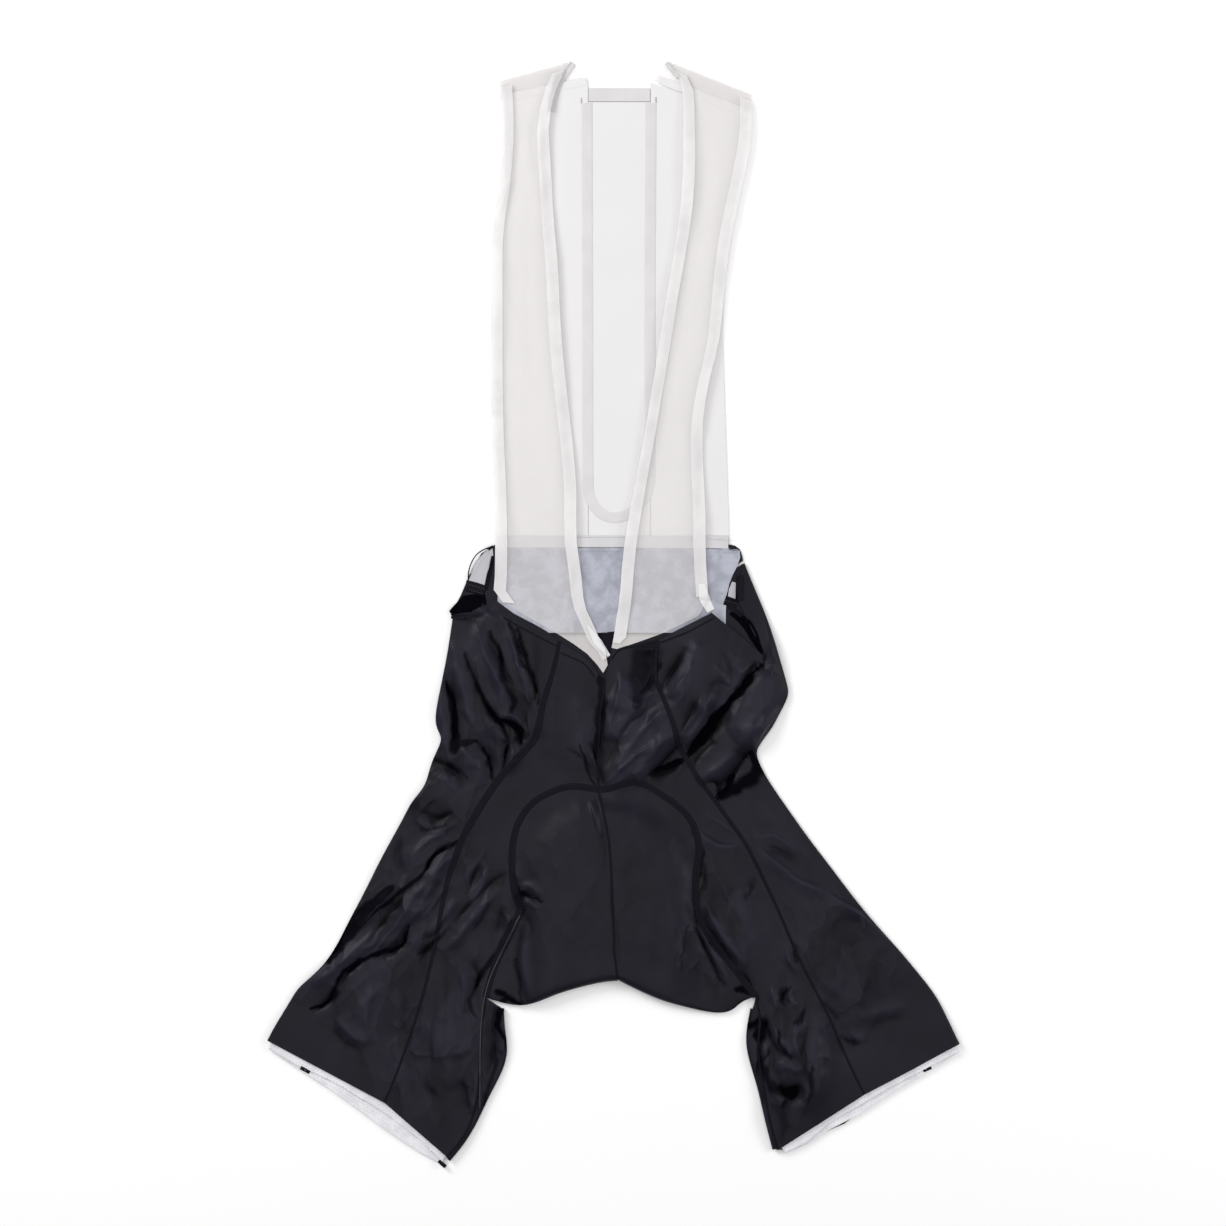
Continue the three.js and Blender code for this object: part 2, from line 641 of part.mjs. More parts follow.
function rightHalf() {
  const middle = (name) => line(SIDE_RIGHT, ROWS, `${name}X`, `${name}Y`);
  shortsHalf("right", {
    seam: middle("seam"),
    fold: middle("fold"),
    crossings: [middle("crown"), middle("edge"), middle("bank")],
    arch: line(ARCH_RIGHT, ARCH_ROWS),
    inseamUpper: line(INSEAM_UPPER_RIGHT, INSEAM_UPPER_ROWS),
    inseam: line(INNER_RIGHT, INSEAM_LOWER_ROWS, "seamX", "seamY"),
    innerFold: line(INNER_RIGHT, INSEAM_LOWER_ROWS, "foldX", "foldY"),
    crotch: line(CROTCH_RIGHT, GUSSET_COLUMNS),
    waistSide: line(WAIST_SIDE_RIGHT, WAIST_ROWS),
    frontTop: TOP_RIGHT_FRONT,
    sideTop: null,
  }, { front: 6, side: [4, 3, 2, 3] });
}

// Seat pad: one cushion between the gusset and the back, inside the arch seam.
function seatPad() {
  const arch = [line(ARCH_LEFT, ARCH_ROWS), line(ARCH_RIGHT, ARCH_ROWS)];
  const foot = [[PAD_FOOT.left, PAD_FOOT.y], [PAD_FOOT.right, PAD_FOOT.y]].map(([x, y]) => plan(x, y));
  const sides = arch.map((points, k) => [...points.slice(2), mix(points.at(-1), foot[k], 0.5), foot[k]]);
  const grid = sides[0].map((start, i) => {
    const row = [];
    for (let j = 0; j <= PAD_COLUMNS; j++) {
      const share = j / PAD_COLUMNS;
      const p = mix(start, sides[1][i], PAD_INSET_SHARE + share * (1 - 2 * PAD_INSET_SHARE));
      p.y += PAD_CROWN * Math.sin(Math.PI * share) * (1 - i / (sides[0].length - 1)) ** 4;
      let lowest = frontUnder(p.x, p.y);
      for (let k = 0; k < PAD_CLEAR_SPOTS; k++) {
        const near = plan(PAD_CLEAR, 0).rotateAround(plan(0, 0), (2 * Math.PI * k) / PAD_CLEAR_SPOTS).add(p);
        lowest = Math.min(lowest, frontUnder(near.x, near.y));
      }
      const top = Math.max(lowest - PAD_SKIN_GAP, PAD_REST + PAD_THINNEST);
      row.push({ outer: new THREE.Vector3(p.x, p.y, top), inner: new THREE.Vector3(p.x, p.y, PAD_REST) });
    }
    return row;
  });
  add("seat_pad", FOAM, wall(grid));
}

// A flat cloth between two edges of a table, on a given height.
function flat(name, finish, start, end, under, thick, columns = 1) {
  add(name, finish, wall(inset(between(start, end, columns, () => under, thick))));
}

function backMesh() {
  const edge = (rows, name) => line(rows, BACK_ROWS, `${name}X`, `${name}Y`);
  flat("back_mesh_left", WHITE_MESH, edge(BACK_LEFT, "out"), edge(BACK_LEFT, "in"), 0, MESH_WALL);
  flat("back_mesh_right", WHITE_MESH, edge(BACK_RIGHT, "out"), edge(BACK_RIGHT, "in"), 0, MESH_WALL);
  const centre = table("x y", [[0, NECK.low], [0, WAIST_SEAM]]);
  const strip = (x) => line(centre, BACK_ROWS).map((p) => plan(x, p.y));
  flat("back_mesh_centre", WHITE_MESH, strip(BACK_SEAMS.left), strip(BACK_SEAMS.right), 0, MESH_WALL);
  const neck = (y) => line(table("x y", [[BACK_SEAMS.left, y], [BACK_SEAMS.right, y]]), 4);
  flat("neck_band", WHITE_BAND, neck(NECK.top), neck(NECK.low), 0, NECK.thick);
}

// Round the inside of the waist at the back: a white band over the seam, and a lining down from it.
function waistInside() {
  const across = (y) => line(table("x y", [[WAIST_BAND.left, y], [WAIST_BAND.right, y]]), 6);
  const under = STRETCH_WALL + LAYER_GAP;
  flat("waist_band", WHITE_BAND, across(WAIST_BAND.top), across(WAIST_BAND.low), under, MESH_WALL);
  const right = line(LINING_RIGHT_EDGE, 8);
  const left = right.map((p) => plan(LINING_LEFT, p.y));
  flat("waist_lining", GREY_MESH, left, right, under, MESH_WALL, 2);
  for (const [side, rows] of [["left", ELASTIC_LEFT], ["right", ELASTIC_RIGHT]]) {
    const steps = rows.length - 1;
    const [start, end] = [line(rows, steps, "outX", "outY"), line(rows, steps, "inX", "inY")];
    flat(`waist_elastic_${side}`, WHITE_BAND, start, end, under, MESH_WALL);
  }
}

// A strap from the shorts' top edge over the shoulder, with its two bindings on it.
function strap(side, rows) {
  const out = line(rows, STRAP_ROWS, "outX", "outY");
  const inn = line(rows, STRAP_ROWS, "inX", "inY");
  const spots = out.map((start, i) => {
    const band = Math.min(BINDING_WIDE / start.distanceTo(inn[i]), BINDING_MOST);
    const mesh = (1 - 2 * band) / 3;
    return [0, band, band + mesh, 1 - band - mesh, 1 - band, 1].map((share) => mix(start, inn[i], share));
  });
  const cells = spots.map((row) => row.map((p) => lying(p, strapUnder(p.x, p.y), MESH_WALL)));
  const upward = plan(0, 1);
  const shoulderTurns = spots[0].map((p) => turning(p, upward, strapUnder(p.x, p.y), MESH_WALL));
  const neckSide = inn[0].x < out[0].x ? -NECK_SPREAD : NECK_SPREAD;
  const returned = shoulderTurns.map((turn, j) => {
    const p = turn.centre.clone().addScaledVector(upward, -SHOULDER_TURN);
    p.x += neckSide * smooth(NECK_SPREAD_START, 1, j / (shoulderTurns.length - 1));
    return onFloor(p, MESH_WALL);
  });
  const head = [returned];
  for (let k = FOLD_STEPS; k >= 0; k--) head.push(shoulderTurns.map((turn) => turn.steps[k]));
  add(`strap_${side}`, WHITE_MESH, wall(inset([...head, ...cells.slice(1)])));

  const lift = MESH_WALL + LAYER_GAP;
  const on = (p) => lying(p, strapUnder(p.x, p.y) + lift, MESH_WALL);
  const freeRows = Math.round(STRAP_ROWS * STRAP_FREE_SHARE[side]);
  const outer = spots.slice(1, freeRows + 1).map((row) => [on(row[0]), on(row[1])]);
  const inner = spots.slice(1, -1).map((row) => [on(row[4]), on(row[5])]);
  add(`outer_binding_${side}`, WHITE_BAND, wall(inset(outer)));
  add(`inner_binding_${side}`, WHITE_BAND, wall(inset(inner)));
}

// A gripper band: a flattened ring inside the hem, its front and rear joined at both folds of the leg.
function gripper(side, rows) {
  const front = line(rows, GRIPPER_STEPS, "frontX", "frontY");
  const rear = line(rows, GRIPPER_STEPS, "rearX", "rearY");
  const hemLine = front.at(-1).clone().sub(front[0]).normalize();
  const upLeg = plan(-hemLine.y, hemLine.x);
  if (upLeg.y < 0) upLeg.negate();
  const rearUnder = STRETCH_WALL + LAYER_GAP;
  const frontUnderBand = rearUnder + MESH_WALL + LAYER_GAP;

  // A cut up the leg through the band, from the points and heights of its two faces.
  const station = (outer, inner, outerZ, innerZ) => [0, 0.5, 1].map((share) => {
    const at = (p, z) => {
      const up = p.clone().addScaledVector(upLeg, share * GRIPPER_DEPTH);
      return new THREE.Vector3(up.x, up.y, z);
    };
    return { outer: at(outer, outerZ), inner: at(inner, innerZ) };
  });
  const turn = (end, beforeEnd) => {
    const past = (points) => points.at(end).clone().lerp(points.at(beforeEnd), -GRIPPER_TURN.past);
    const outer = mix(past(front), past(rear), 0.5);
    const inner = mix(outer, mix(front.at(end), rear.at(end), 0.5), GRIPPER_TURN.wall);
    const height = frontUnderBand - LAYER_GAP / 2;
    return station(outer, inner, height, height);
  };
  const ring = [
    ...front.map((p) => station(p, p, frontUnderBand + MESH_WALL, frontUnderBand)),
    turn(-1, -2),
    ...rear.toReversed().map((p) => station(p, p, rearUnder, rearUnder + MESH_WALL)),
    turn(0, 1),
  ];
  add(`hem_gripper_${side}`, GRIPPER, wall(ring, true));
}

leftHalf();
rightHalf();
seatPad();
backMesh();
waistInside();
strap("left", STRAP_LEFT);
strap("right", STRAP_RIGHT);
gripper("left", HEM_LEFT);
gripper("right", HEM_RIGHT);

// The origin is the middle of the outline in plan, on the surface that the garment lies on.
const middle = new THREE.Box3().setFromObject(garment).getCenter(new THREE.Vector3());
garment.position.set(-middle.x, -middle.y, 0);

export default garment;
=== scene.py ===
"""Cycling bib shorts laid flat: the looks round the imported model.

Everything is in metres, in the model's frame.
"""

import json
import math
from types import SimpleNamespace

import bpy
import numpy as np
from bpy.props import FloatProperty, FloatVectorProperty, PointerProperty
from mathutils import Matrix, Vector
from mathutils.bvhtree import BVHTree

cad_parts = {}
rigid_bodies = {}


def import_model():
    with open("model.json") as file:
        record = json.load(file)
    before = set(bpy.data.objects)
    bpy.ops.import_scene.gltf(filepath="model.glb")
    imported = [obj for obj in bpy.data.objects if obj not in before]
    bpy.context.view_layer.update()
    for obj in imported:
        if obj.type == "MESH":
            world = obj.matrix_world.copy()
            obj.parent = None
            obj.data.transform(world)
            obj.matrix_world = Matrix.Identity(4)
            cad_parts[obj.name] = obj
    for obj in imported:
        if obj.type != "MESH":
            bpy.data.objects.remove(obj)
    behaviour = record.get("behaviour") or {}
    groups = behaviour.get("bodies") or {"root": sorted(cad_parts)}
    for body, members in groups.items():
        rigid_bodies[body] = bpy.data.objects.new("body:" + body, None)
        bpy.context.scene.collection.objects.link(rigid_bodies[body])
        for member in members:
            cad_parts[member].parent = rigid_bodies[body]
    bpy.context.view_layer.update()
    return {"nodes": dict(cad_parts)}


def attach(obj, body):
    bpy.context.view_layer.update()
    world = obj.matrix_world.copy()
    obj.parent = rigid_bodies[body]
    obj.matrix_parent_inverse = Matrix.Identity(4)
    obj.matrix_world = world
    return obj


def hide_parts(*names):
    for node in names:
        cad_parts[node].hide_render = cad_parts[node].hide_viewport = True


bl_info = {
    "name": "Cycling Bib Shorts",
    "version": (1, 0, 0),
    "blender": (4, 5, 0),
    "location": "View3D > Sidebar > Bib Shorts",
    "description": "Dresses the solids of a pair of bib shorts as cloth, seams and bindings",
    "category": "Object",
}

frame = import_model()
MM = 0.001

# How the creases below are placed: a photo pixel is this long, and this pixel is the model's origin.
PIXEL = 0.87 * MM
ORIGIN_PIXEL = (613.5, 611.8)

SIDES = ("left", "right")


def table(columns, *rows):
    """Rows of numbers as objects with the named columns."""
    names = columns.split()
    return [SimpleNamespace(**dict(zip(names, row, strict=True))) for row in rows]


CREASE = "fromX fromY viaX viaY toX toY wide high lean"

# Creases of the black front, by place. Ends and middle are photo pixels, half width and height millimetres.
# A trough has a height below 0. Lean draws the slope on the photo's right out, where it is above 0, or in.
TORSO_LEFT = table(
    CREASE,
    (508, 618, 524, 659, 539, 705, 4, -3.0, -0.5),
    (518, 630, 530, 662, 540, 698, 2.5, -1.6, 0.3),
    (501, 612, 514, 650, 530, 706, 5, 3.2, 0.5),
    (484, 628, 503, 660, 517, 704, 4, -3.0, -0.5),
    (474, 622, 490, 664, 508, 712, 7, 3.2, 0.5),
    (465, 655, 484, 702, 500, 720, 3.5, -2.6, -0.5),
    (500, 718, 515, 726, 524, 744, 4.5, -4.0, -0.3),
    (498, 712, 516, 716, 530, 736, 4, 2.6, -0.5),
    (443, 674, 454, 706, 453, 752, 7, -3.2, 0.7),
    (436, 690, 444, 722, 444, 752, 6, 2.4, 0.2),
    (452, 640, 462, 690, 478, 735, 9, 3.0, 0.3),
    (484, 704, 504, 732, 503, 776, 3.5, -2.8, 0.4),
    (497, 728, 512, 750, 506, 776, 5, 2.4, 0.2),
    (473, 741, 486, 755, 494, 782, 3.5, -2.8, 0.4),
    (462, 744, 474, 762, 486, 786, 5, 2.2, -0.3),
    (548, 640, 556, 700, 552, 760, 16, 2.0, 0.2),
    (541, 640, 533, 700, 505, 760, 4, -1.2, 0.0),
    (470, 604, 485, 612, 500, 622, 5, 2.4, 0.0),
    (456, 616, 478, 616, 496, 602, 4, -2.2, 0.0),
)
TORSO_RIGHT = table(
    CREASE,
    (686, 648, 675, 668, 660, 690, 5, -3.6, -0.4),
    (698, 640, 688, 670, 668, 700, 8, 3.4, 0.3),
    (648, 650, 650, 676, 634, 702, 13, -4.5, 0.3),
    (622, 668, 614, 705, 606, 740, 8, 3.6, 0.3),
    (662, 684, 640, 704, 614, 742, 8, 3.2, -0.3),
    (672, 700, 646, 726, 606, 782, 9, 3.4, 0.4),
    (660, 698, 628, 728, 604, 770, 4, -2.4, 0.0),
    (654, 742, 628, 760, 602, 786, 3, 2.4, 0.5),
    (701, 694, 690, 714, 680, 734, 3.5, -2.6, -0.4),
    (712, 690, 702, 716, 688, 742, 6, 2.8, -0.2),
    (684, 742, 668, 756, 646, 780, 5, -3.2, 0.3),
    (676, 728, 656, 748, 632, 780, 7, 3.0, 0.2),
    (704, 691, 721, 684, 735, 693, 3, -1.8, 0.4),
    (722, 652, 727, 668, 734, 690, 2.5, -2.0, 0.4),
    (729, 650, 738, 668, 738, 690, 3.5, 2.2, -0.2),
    (714, 664, 722, 676, 728, 690, 3, 1.8, -0.2),
    (760, 660, 744, 678, 727, 706, 4.5, -4.5, 0.3),
    (727, 706, 708, 732, 684, 760, 5.5, -5.0, 0.3),
    (684, 760, 668, 770, 648, 776, 5, -3.5, 0.3),
    (751, 664, 735, 690, 716, 712, 5, 3.4, -0.5),
    (716, 712, 700, 730, 680, 750, 5, 2.8, -0.5),
    (772, 672, 764, 706, 738, 744, 11, 3.4, -0.2),
    (782, 706, 768, 726, 752, 748, 3, 1.8, -0.4),
    (735, 752, 716, 768, 694, 780, 8, 3.2, 0.2),
    (716, 742, 700, 754, 690, 772, 3, -1.6, 0.2),
    (752, 746, 738, 768, 716, 792, 6, -4.0, -0.4),
    (700, 786, 712, 782, 724, 792, 4, -2.2, 0.0),
    (592, 740, 596, 762, 603, 790, 3, -2.6, -0.3),
    (566, 748, 586, 764, 601, 788, 3, -1.4, 0.3),
    (602, 690, 602, 730, 600, 780, 3.5, -2.6, 0.0),
    (575, 690, 580, 730, 588, 768, 10, 2.0, 0.0),
)
LEG_LEFT = table(
    CREASE,
    (410, 922, 398, 948, 370, 958, 4, -3.4, -0.4),
    (370, 958, 350, 972, 340, 990, 4.5, -3.6, -0.5),
    (340, 990, 330, 1002, 312, 1013, 4, -3.4, -0.5),
    (378, 926, 352, 952, 312, 984, 9, 4.2, 0.3),
    (356, 902, 338, 940, 325, 962, 6, -3.6, 0.3),
    (330, 962, 312, 980, 300, 1004, 7, 2.6, 0.0),
    (396, 880, 376, 908, 352, 946, 6, 3.2, -0.3),
    (412, 886, 388, 916, 366, 944, 4, -2.8, -0.3),
    (426, 880, 402, 916, 380, 944, 6, 2.8, 0.2),
    (432, 760, 450, 768, 467, 787, 3.5, -2.4, 0.2),
    (428, 770, 446, 780, 462, 798, 5, 2.2, 0.0),
    (418, 811, 438, 818, 455, 811, 3, -2.6, 0.0),
    (416, 822, 436, 830, 460, 822, 5, 2.2, 0.0),
    (456, 842, 438, 852, 424, 872, 3.5, -3.4, 0.4),
    (462, 852, 444, 862, 430, 884, 5, 2.8, 0.2),
    (448, 832, 430, 838, 412, 858, 5, 2.2, 0.0),
    (480, 864, 472, 880, 464, 898, 3, -2.2, 0.3),
    (490, 862, 482, 884, 470, 906, 6, 2.8, 0.1),
    (509, 870, 477, 896, 452, 926, 4, -3.0, 0.4),
    (452, 926, 436, 942, 416, 958, 3.5, -2.4, 0.4),
    (504, 884, 478, 912, 448, 948, 6, 2.8, 0.2),
    (460, 896, 444, 916, 428, 938, 4.5, 2.2, 0.0),
    (448, 916, 440, 928, 428, 940, 2.5, -2.0, 0.3),
    (446, 932, 434, 944, 419, 957, 2.5, -2.2, 0.3),
    (492, 900, 484, 916, 474, 930, 3, -2.4, 0.2),
    (440, 872, 424, 900, 408, 924, 5, 2.0, 0.0),
    (334, 1017, 352, 1034, 368, 1044, 4, 2.6, 0.4),
    (330, 1026, 346, 1044, 362, 1052, 5, -1.6, 0.0),
    (420, 950, 408, 1010, 404, 1060, 12, 2.2, 0.3),
    (438, 998, 432, 1036, 430, 1068, 3, -1.4, 0.3),
    (446, 1000, 442, 1040, 450, 1090, 9, 2.2, 0.2),
    (420, 1078, 428, 1090, 441, 1101, 3, -1.6, 0.3),
    (450, 1052, 462, 1051, 474, 1045, 3, 1.6, 0.0),
    (461, 1076, 465, 1098, 474, 1122, 3, -2.0, 0.0),
    (470, 960, 478, 978, 472, 1000, 4, -2.8, 0.0),
    (460, 968, 464, 990, 460, 1016, 4, 2.2, 0.0),
    (380, 980, 366, 1010, 372, 1036, 10, 1.8, 0.0),
    (392, 1036, 400, 1060, 418, 1084, 5, 1.4, 0.0),
    (494, 1006, 494, 1040, 489, 1078, 4, -3.0, 0.0),
    (504, 1000, 506, 1024, 502, 1052, 4, 2.6, 0.0),
    (474, 1068, 476, 1090, 470, 1116, 3.5, 2.0, 0.0),
    (402, 836, 398, 856, 404, 876, 4, -2.0, 0.0),
)
LEG_RIGHT = table(
    CREASE,
    (756, 844, 790, 873, 828, 893, 5, 2.2, -0.5),
    (826, 892, 848, 906, 868, 918, 3.5, 2.6, -0.6),
    (752, 838, 772, 834, 798, 852, 5, 1.8, -0.2),
    (768, 846, 782, 852, 800, 862, 3, -1.4, 0.0),
    (698, 829, 718, 844, 740, 846, 5, 2.6, -0.6),
    (704, 812, 722, 822, 740, 836, 4, 1.8, -0.2),
    (757, 880, 752, 886, 746, 894, 3, -1.6, 0.0),
    (727, 893, 734, 890, 744, 882, 3, -1.4, 0.0),
    (738, 880, 742, 910, 760, 950, 9, 1.8, 0.2),
    (697, 905, 712, 940, 736, 968, 4.5, -4.2, 0.3),
    (736, 968, 746, 982, 752, 996, 3.5, -2.6, 0.3),
    (708, 912, 724, 940, 746, 966, 5, 3.0, 0.3),
    (748, 1002, 742, 1016, 748, 1034, 5, -4.2, 0.0),
    (770, 1020, 780, 1040, 791, 1056, 3.5, 3.2, 0.5),
    (762, 1014, 770, 1036, 782, 1054, 3, -2.8, -0.2),
    (767, 1028, 759, 1046, 757, 1084, 3.5, -3.0, 0.3),
    (762, 1040, 764, 1060, 764, 1076, 3.5, 2.8, 0.0),
    (786, 986, 780, 998, 790, 1002, 3.5, -3.2, 0.0),
    (794, 984, 790, 996, 797, 1006, 3.5, 2.4, 0.0),
    (776, 984, 772, 996, 778, 1010, 3.5, 2.4, 0.0),
    (808, 1024, 802, 1056, 811, 1092, 3.5, -2.8, 0.2),
    (800, 1016, 794, 1040, 800, 1062, 4.5, 2.8, 0.0),
    (764, 1068, 775, 1090, 790, 1102, 4, 3.2, -0.3),
    (790, 1102, 802, 1102, 810, 1086, 4, 2.6, -0.3),
    (772, 1066, 784, 1064, 800, 1070, 4, 3.0, 0.2),
    (778, 1084, 790, 1094, 800, 1082, 7, -4.6, 0.0),
    (820, 1010, 816, 1050, 822, 1100, 8, 2.0, 0.0),
    (842, 1036, 849, 1042, 857, 1044, 3, -1.6, 0.0),
    (836, 1034, 840, 1046, 844, 1056, 2.5, -1.6, 0.0),
    (848, 1030, 858, 1036, 868, 1036, 4, 1.6, 0.0),
    (824, 1000, 830, 1012, 838, 1022, 3, -1.6, 0.0),
    (796, 944, 796, 954, 798, 962, 2.5, -1.6, 0.3),
    (786, 938, 788, 956, 794, 972, 4, 1.6, 0.0),
    (868, 1030, 882, 1022, 906, 1016, 4, -1.2, 0.0),
    (860, 1020, 884, 1010, 912, 1004, 6, 1.4, 0.0),
    (760, 1100, 766, 1120, 768, 1146, 6, 2.0, 0.0),
    (782, 1112, 786, 1128, 782, 1146, 4, -1.4, 0.0),
    (880, 940, 862, 985, 850, 1030, 26, 1.8, 0.0),
    (820, 900, 820, 950, 828, 1000, 22, 1.4, 0.0),
    (756, 800, 790, 836, 828, 880, 9, 1.0, 0.4),
)
CROTCH = table(
    CREASE,
    (513, 893, 518, 902, 522, 910, 3.5, -4.0, 0.0),
    (520, 896, 530, 894, 540, 899, 2.2, -2.0, 0.0),
    (518, 888, 530, 886, 542, 892, 3, 2.0, 0.0),
    (521, 902, 530, 902, 538, 908, 3, 2.0, 0.0),
    (522, 912, 530, 926, 524, 946, 3, -1.8, 0.0),
    (524, 914, 516, 958, 521, 1000, 3, -1.6, 0.4),
    (531, 918, 524, 958, 530, 1000, 5, 2.0, 0.0),
    (505, 904, 502, 918, 498, 934, 4, -2.4, 0.0),
    (511, 912, 508, 930, 498, 950, 3, 2.4, 0.0),
    (519, 880, 516, 872, 519, 862, 3, 1.4, 0.0),
    (596, 800, 604, 840, 608, 880, 3, -1.2, 0.0),
    (589, 800, 594, 816, 600, 836, 2.5, 1.6, 0.4),
    (612, 880, 616, 930, 618, 978, 2.5, -0.9, 0.0),
    (693, 918, 705, 950, 722, 988, 3, -2.4, 0.2),
    (688, 924, 682, 946, 681, 970, 2.2, 2.0, 0.0),
    (700, 926, 714, 956, 734, 990, 4, 2.4, 0.0),
    (694, 846, 704, 880, 698, 908, 4, -1.8, 0.0),
    (680, 860, 684, 900, 676, 960, 8, 1.4, 0.0),
    (620, 992, 650, 1000, 690, 1006, 4, 1.0, 0.0),
    (540, 930, 552, 960, 548, 998, 9, 0.9, 0.0),
    (640, 840, 652, 900, 648, 970, 16, 1.0, 0.0),
    (560, 830, 570, 890, 574, 960, 18, 1.0, 0.0),
)
# Broad swells, where the cloth stands off what is under it.
SWELLS = table(
    CREASE,
    (486, 650, 500, 690, 488, 740, 24, 2.2, 0.0),
    (450, 700, 458, 730, 462, 770, 18, 1.6, 0.0),
    (560, 690, 562, 730, 556, 770, 20, 1.4, 0.0),
    (690, 655, 668, 690, 636, 736, 26, 2.4, 0.0),
    (754, 660, 742, 700, 712, 744, 22, 1.6, 0.0),
    (430, 830, 420, 880, 392, 940, 30, 2.4, 0.0),
    (360, 940, 350, 990, 362, 1030, 24, 1.8, 0.0),
    (440, 960, 436, 1020, 446, 1090, 26, 2.0, 0.0),
    (716, 900, 730, 940, 742, 980, 14, 1.8, 0.0),
    (776, 1000, 786, 1050, 790, 1110, 22, 2.2, 0.0),
    (800, 880, 830, 940, 850, 1010, 34, 1.8, 0.0),
)
BLACK_CREASES = SWELLS + TORSO_LEFT + TORSO_RIGHT + LEG_LEFT + LEG_RIGHT + CROTCH

# Where the cloth turns under or stands over itself, so that little light gets in: a line in photo pixels,
# half widths in millimetres at its start, middle and end, and how dark it is, up to 1.
SHADES = table(
    "points wide deep",
    (
        ((761, 663), (748, 681), (728, 704), (712, 722), (694, 748), (680, 760), (656, 770)),
        (1.5, 4.6, 1.5),
        1.0,
    ),
    (((751, 753), (757, 772), (742, 784), (722, 796)), (2.5, 6.5, 4.0), 0.92),
    (((734, 776), (724, 790), (716, 799)), (2.0, 4.0, 2.0), 1.0),
    (((646, 650), (646, 668), (641, 688), (636, 704)), (13.0, 12.0, 3.0), 0.62),
    (((660, 664), (652, 680), (642, 694)), (2.0, 3.5, 1.5), 0.85),
    (((601, 676), (602, 705), (600, 729), (596, 756)), (3.0, 5.0, 2.0), 0.7),
    (((447, 680), (452, 705), (455, 728), (454, 748)), (1.2, 3.4, 4.5), 0.85),
    (((456, 744), (466, 742), (476, 741)), (4.0, 3.0, 1.5), 0.7),
    (((464, 653), (475, 679), (486, 703), (507, 736), (503, 768)), (1.6, 1.9, 1.6), 0.75),
    (((498, 718), (519, 729), (522, 743)), (2.0, 3.0, 2.2), 0.95),
    (((491, 632), (500, 651), (503, 682), (515, 701), (512, 711)), (1.8, 2.4, 1.5), 0.75),
    (((510, 620), (515, 639), (529, 668), (538, 694), (538, 705)), (1.0, 1.5, 1.2), 0.7),
    (((517, 630), (526, 658), (536, 688)), (1.5, 2.6, 1.5), 0.85),
    (((484, 748), (489, 765), (493, 780)), (1.2, 2.0, 1.4), 0.75),
    (((434, 759), (453, 767), (467, 776)), (1.2, 2.2, 1.2), 0.6),
    (((581, 746), (588, 769), (595, 784)), (0.8, 1.6, 1.2), 0.7),
    (((392, 886), (366, 911), (348, 935), (329, 960)), (3.0, 7.0, 3.0), 0.86),
    (((409, 926), (402, 945), (371, 955), (345, 971), (328, 1000), (312, 1009)), (1.0, 2.0, 1.2), 0.92),
    (((458, 842), (432, 858), (423, 874), (395, 896), (376, 912), (359, 929)), (1.5, 1.7, 1.2), 0.85),
    (((416, 822), (426, 829), (444, 825)), (1.0, 1.8, 1.0), 0.7),
    (((523, 910), (512, 926), (501, 948), (484, 971), (474, 988)), (3.4, 4.0, 1.5), 0.78),
    (((474, 988), (470, 1004), (476, 1016)), (1.2, 2.0, 1.0), 0.6),
    (((497, 992), (508, 996), (520, 1004)), (3.0, 3.0, 1.5), 0.95),
    (((503, 1000), (498, 1022), (509, 1046), (508, 1060)), (3.0, 2.6, 1.5), 0.9),
    (((496, 1060), (492, 1080), (484, 1104)), (2.0, 2.0, 1.5), 0.6),
    (((515, 880), (518, 892), (530, 895), (541, 901)), (2.0, 2.6, 1.0), 0.9),
    (((515, 957), (520, 981), (522, 1004)), (1.2, 1.6, 1.2), 0.6),
    (((696, 866), (695, 905), (711, 940), (735, 966), (753, 992)), (2.2, 2.6, 1.8), 0.85),
    (((711, 937), (721, 950), (732, 962)), (1.5, 3.0, 1.2), 1.0),
    (((693, 925), (706, 950), (724, 984)), (1.0, 1.5, 1.2), 0.6),
    (((688, 925), (683, 945), (680, 966)), (1.0, 1.4, 0.8), 0.5),
    (((737, 988), (746, 990), (756, 997)), (2.6, 2.6, 2.0), 0.95),
    (((751, 1025), (762, 1021), (757, 1036)), (3.5, 4.2, 3.0), 0.95),
    (((765, 1066), (772, 1087), (794, 1090), (783, 1104)), (2.0, 4.5, 2.5), 0.8),
    (((811, 1066), (811, 1087), (805, 1101)), (1.5, 2.6, 1.5), 0.65),
    (((782, 998), (786, 990), (791, 985)), (1.5, 2.2, 1.2), 0.8),
    (((794, 1021), (800, 1018), (804, 1010)), (2.0, 3.0, 1.5), 0.7),
    (((777, 1030), (782, 1047), (791, 1056)), (1.2, 2.0, 1.4), 0.8),
    (((768, 1050), (761, 1062), (764, 1078)), (1.2, 2.0, 1.2), 0.75),
    (((690, 820), (701, 850), (697, 880), (696, 916)), (1.5, 3.4, 1.6), 0.75),
    (((752, 886), (748, 893), (744, 897)), (1.0, 1.6, 1.0), 0.5),
    (((796, 944), (795, 954), (796, 962)), (1.0, 1.6, 1.0), 0.5),
    (((840, 1036), (850, 1042), (858, 1042)), (1.0, 1.6, 1.0), 0.5),
)

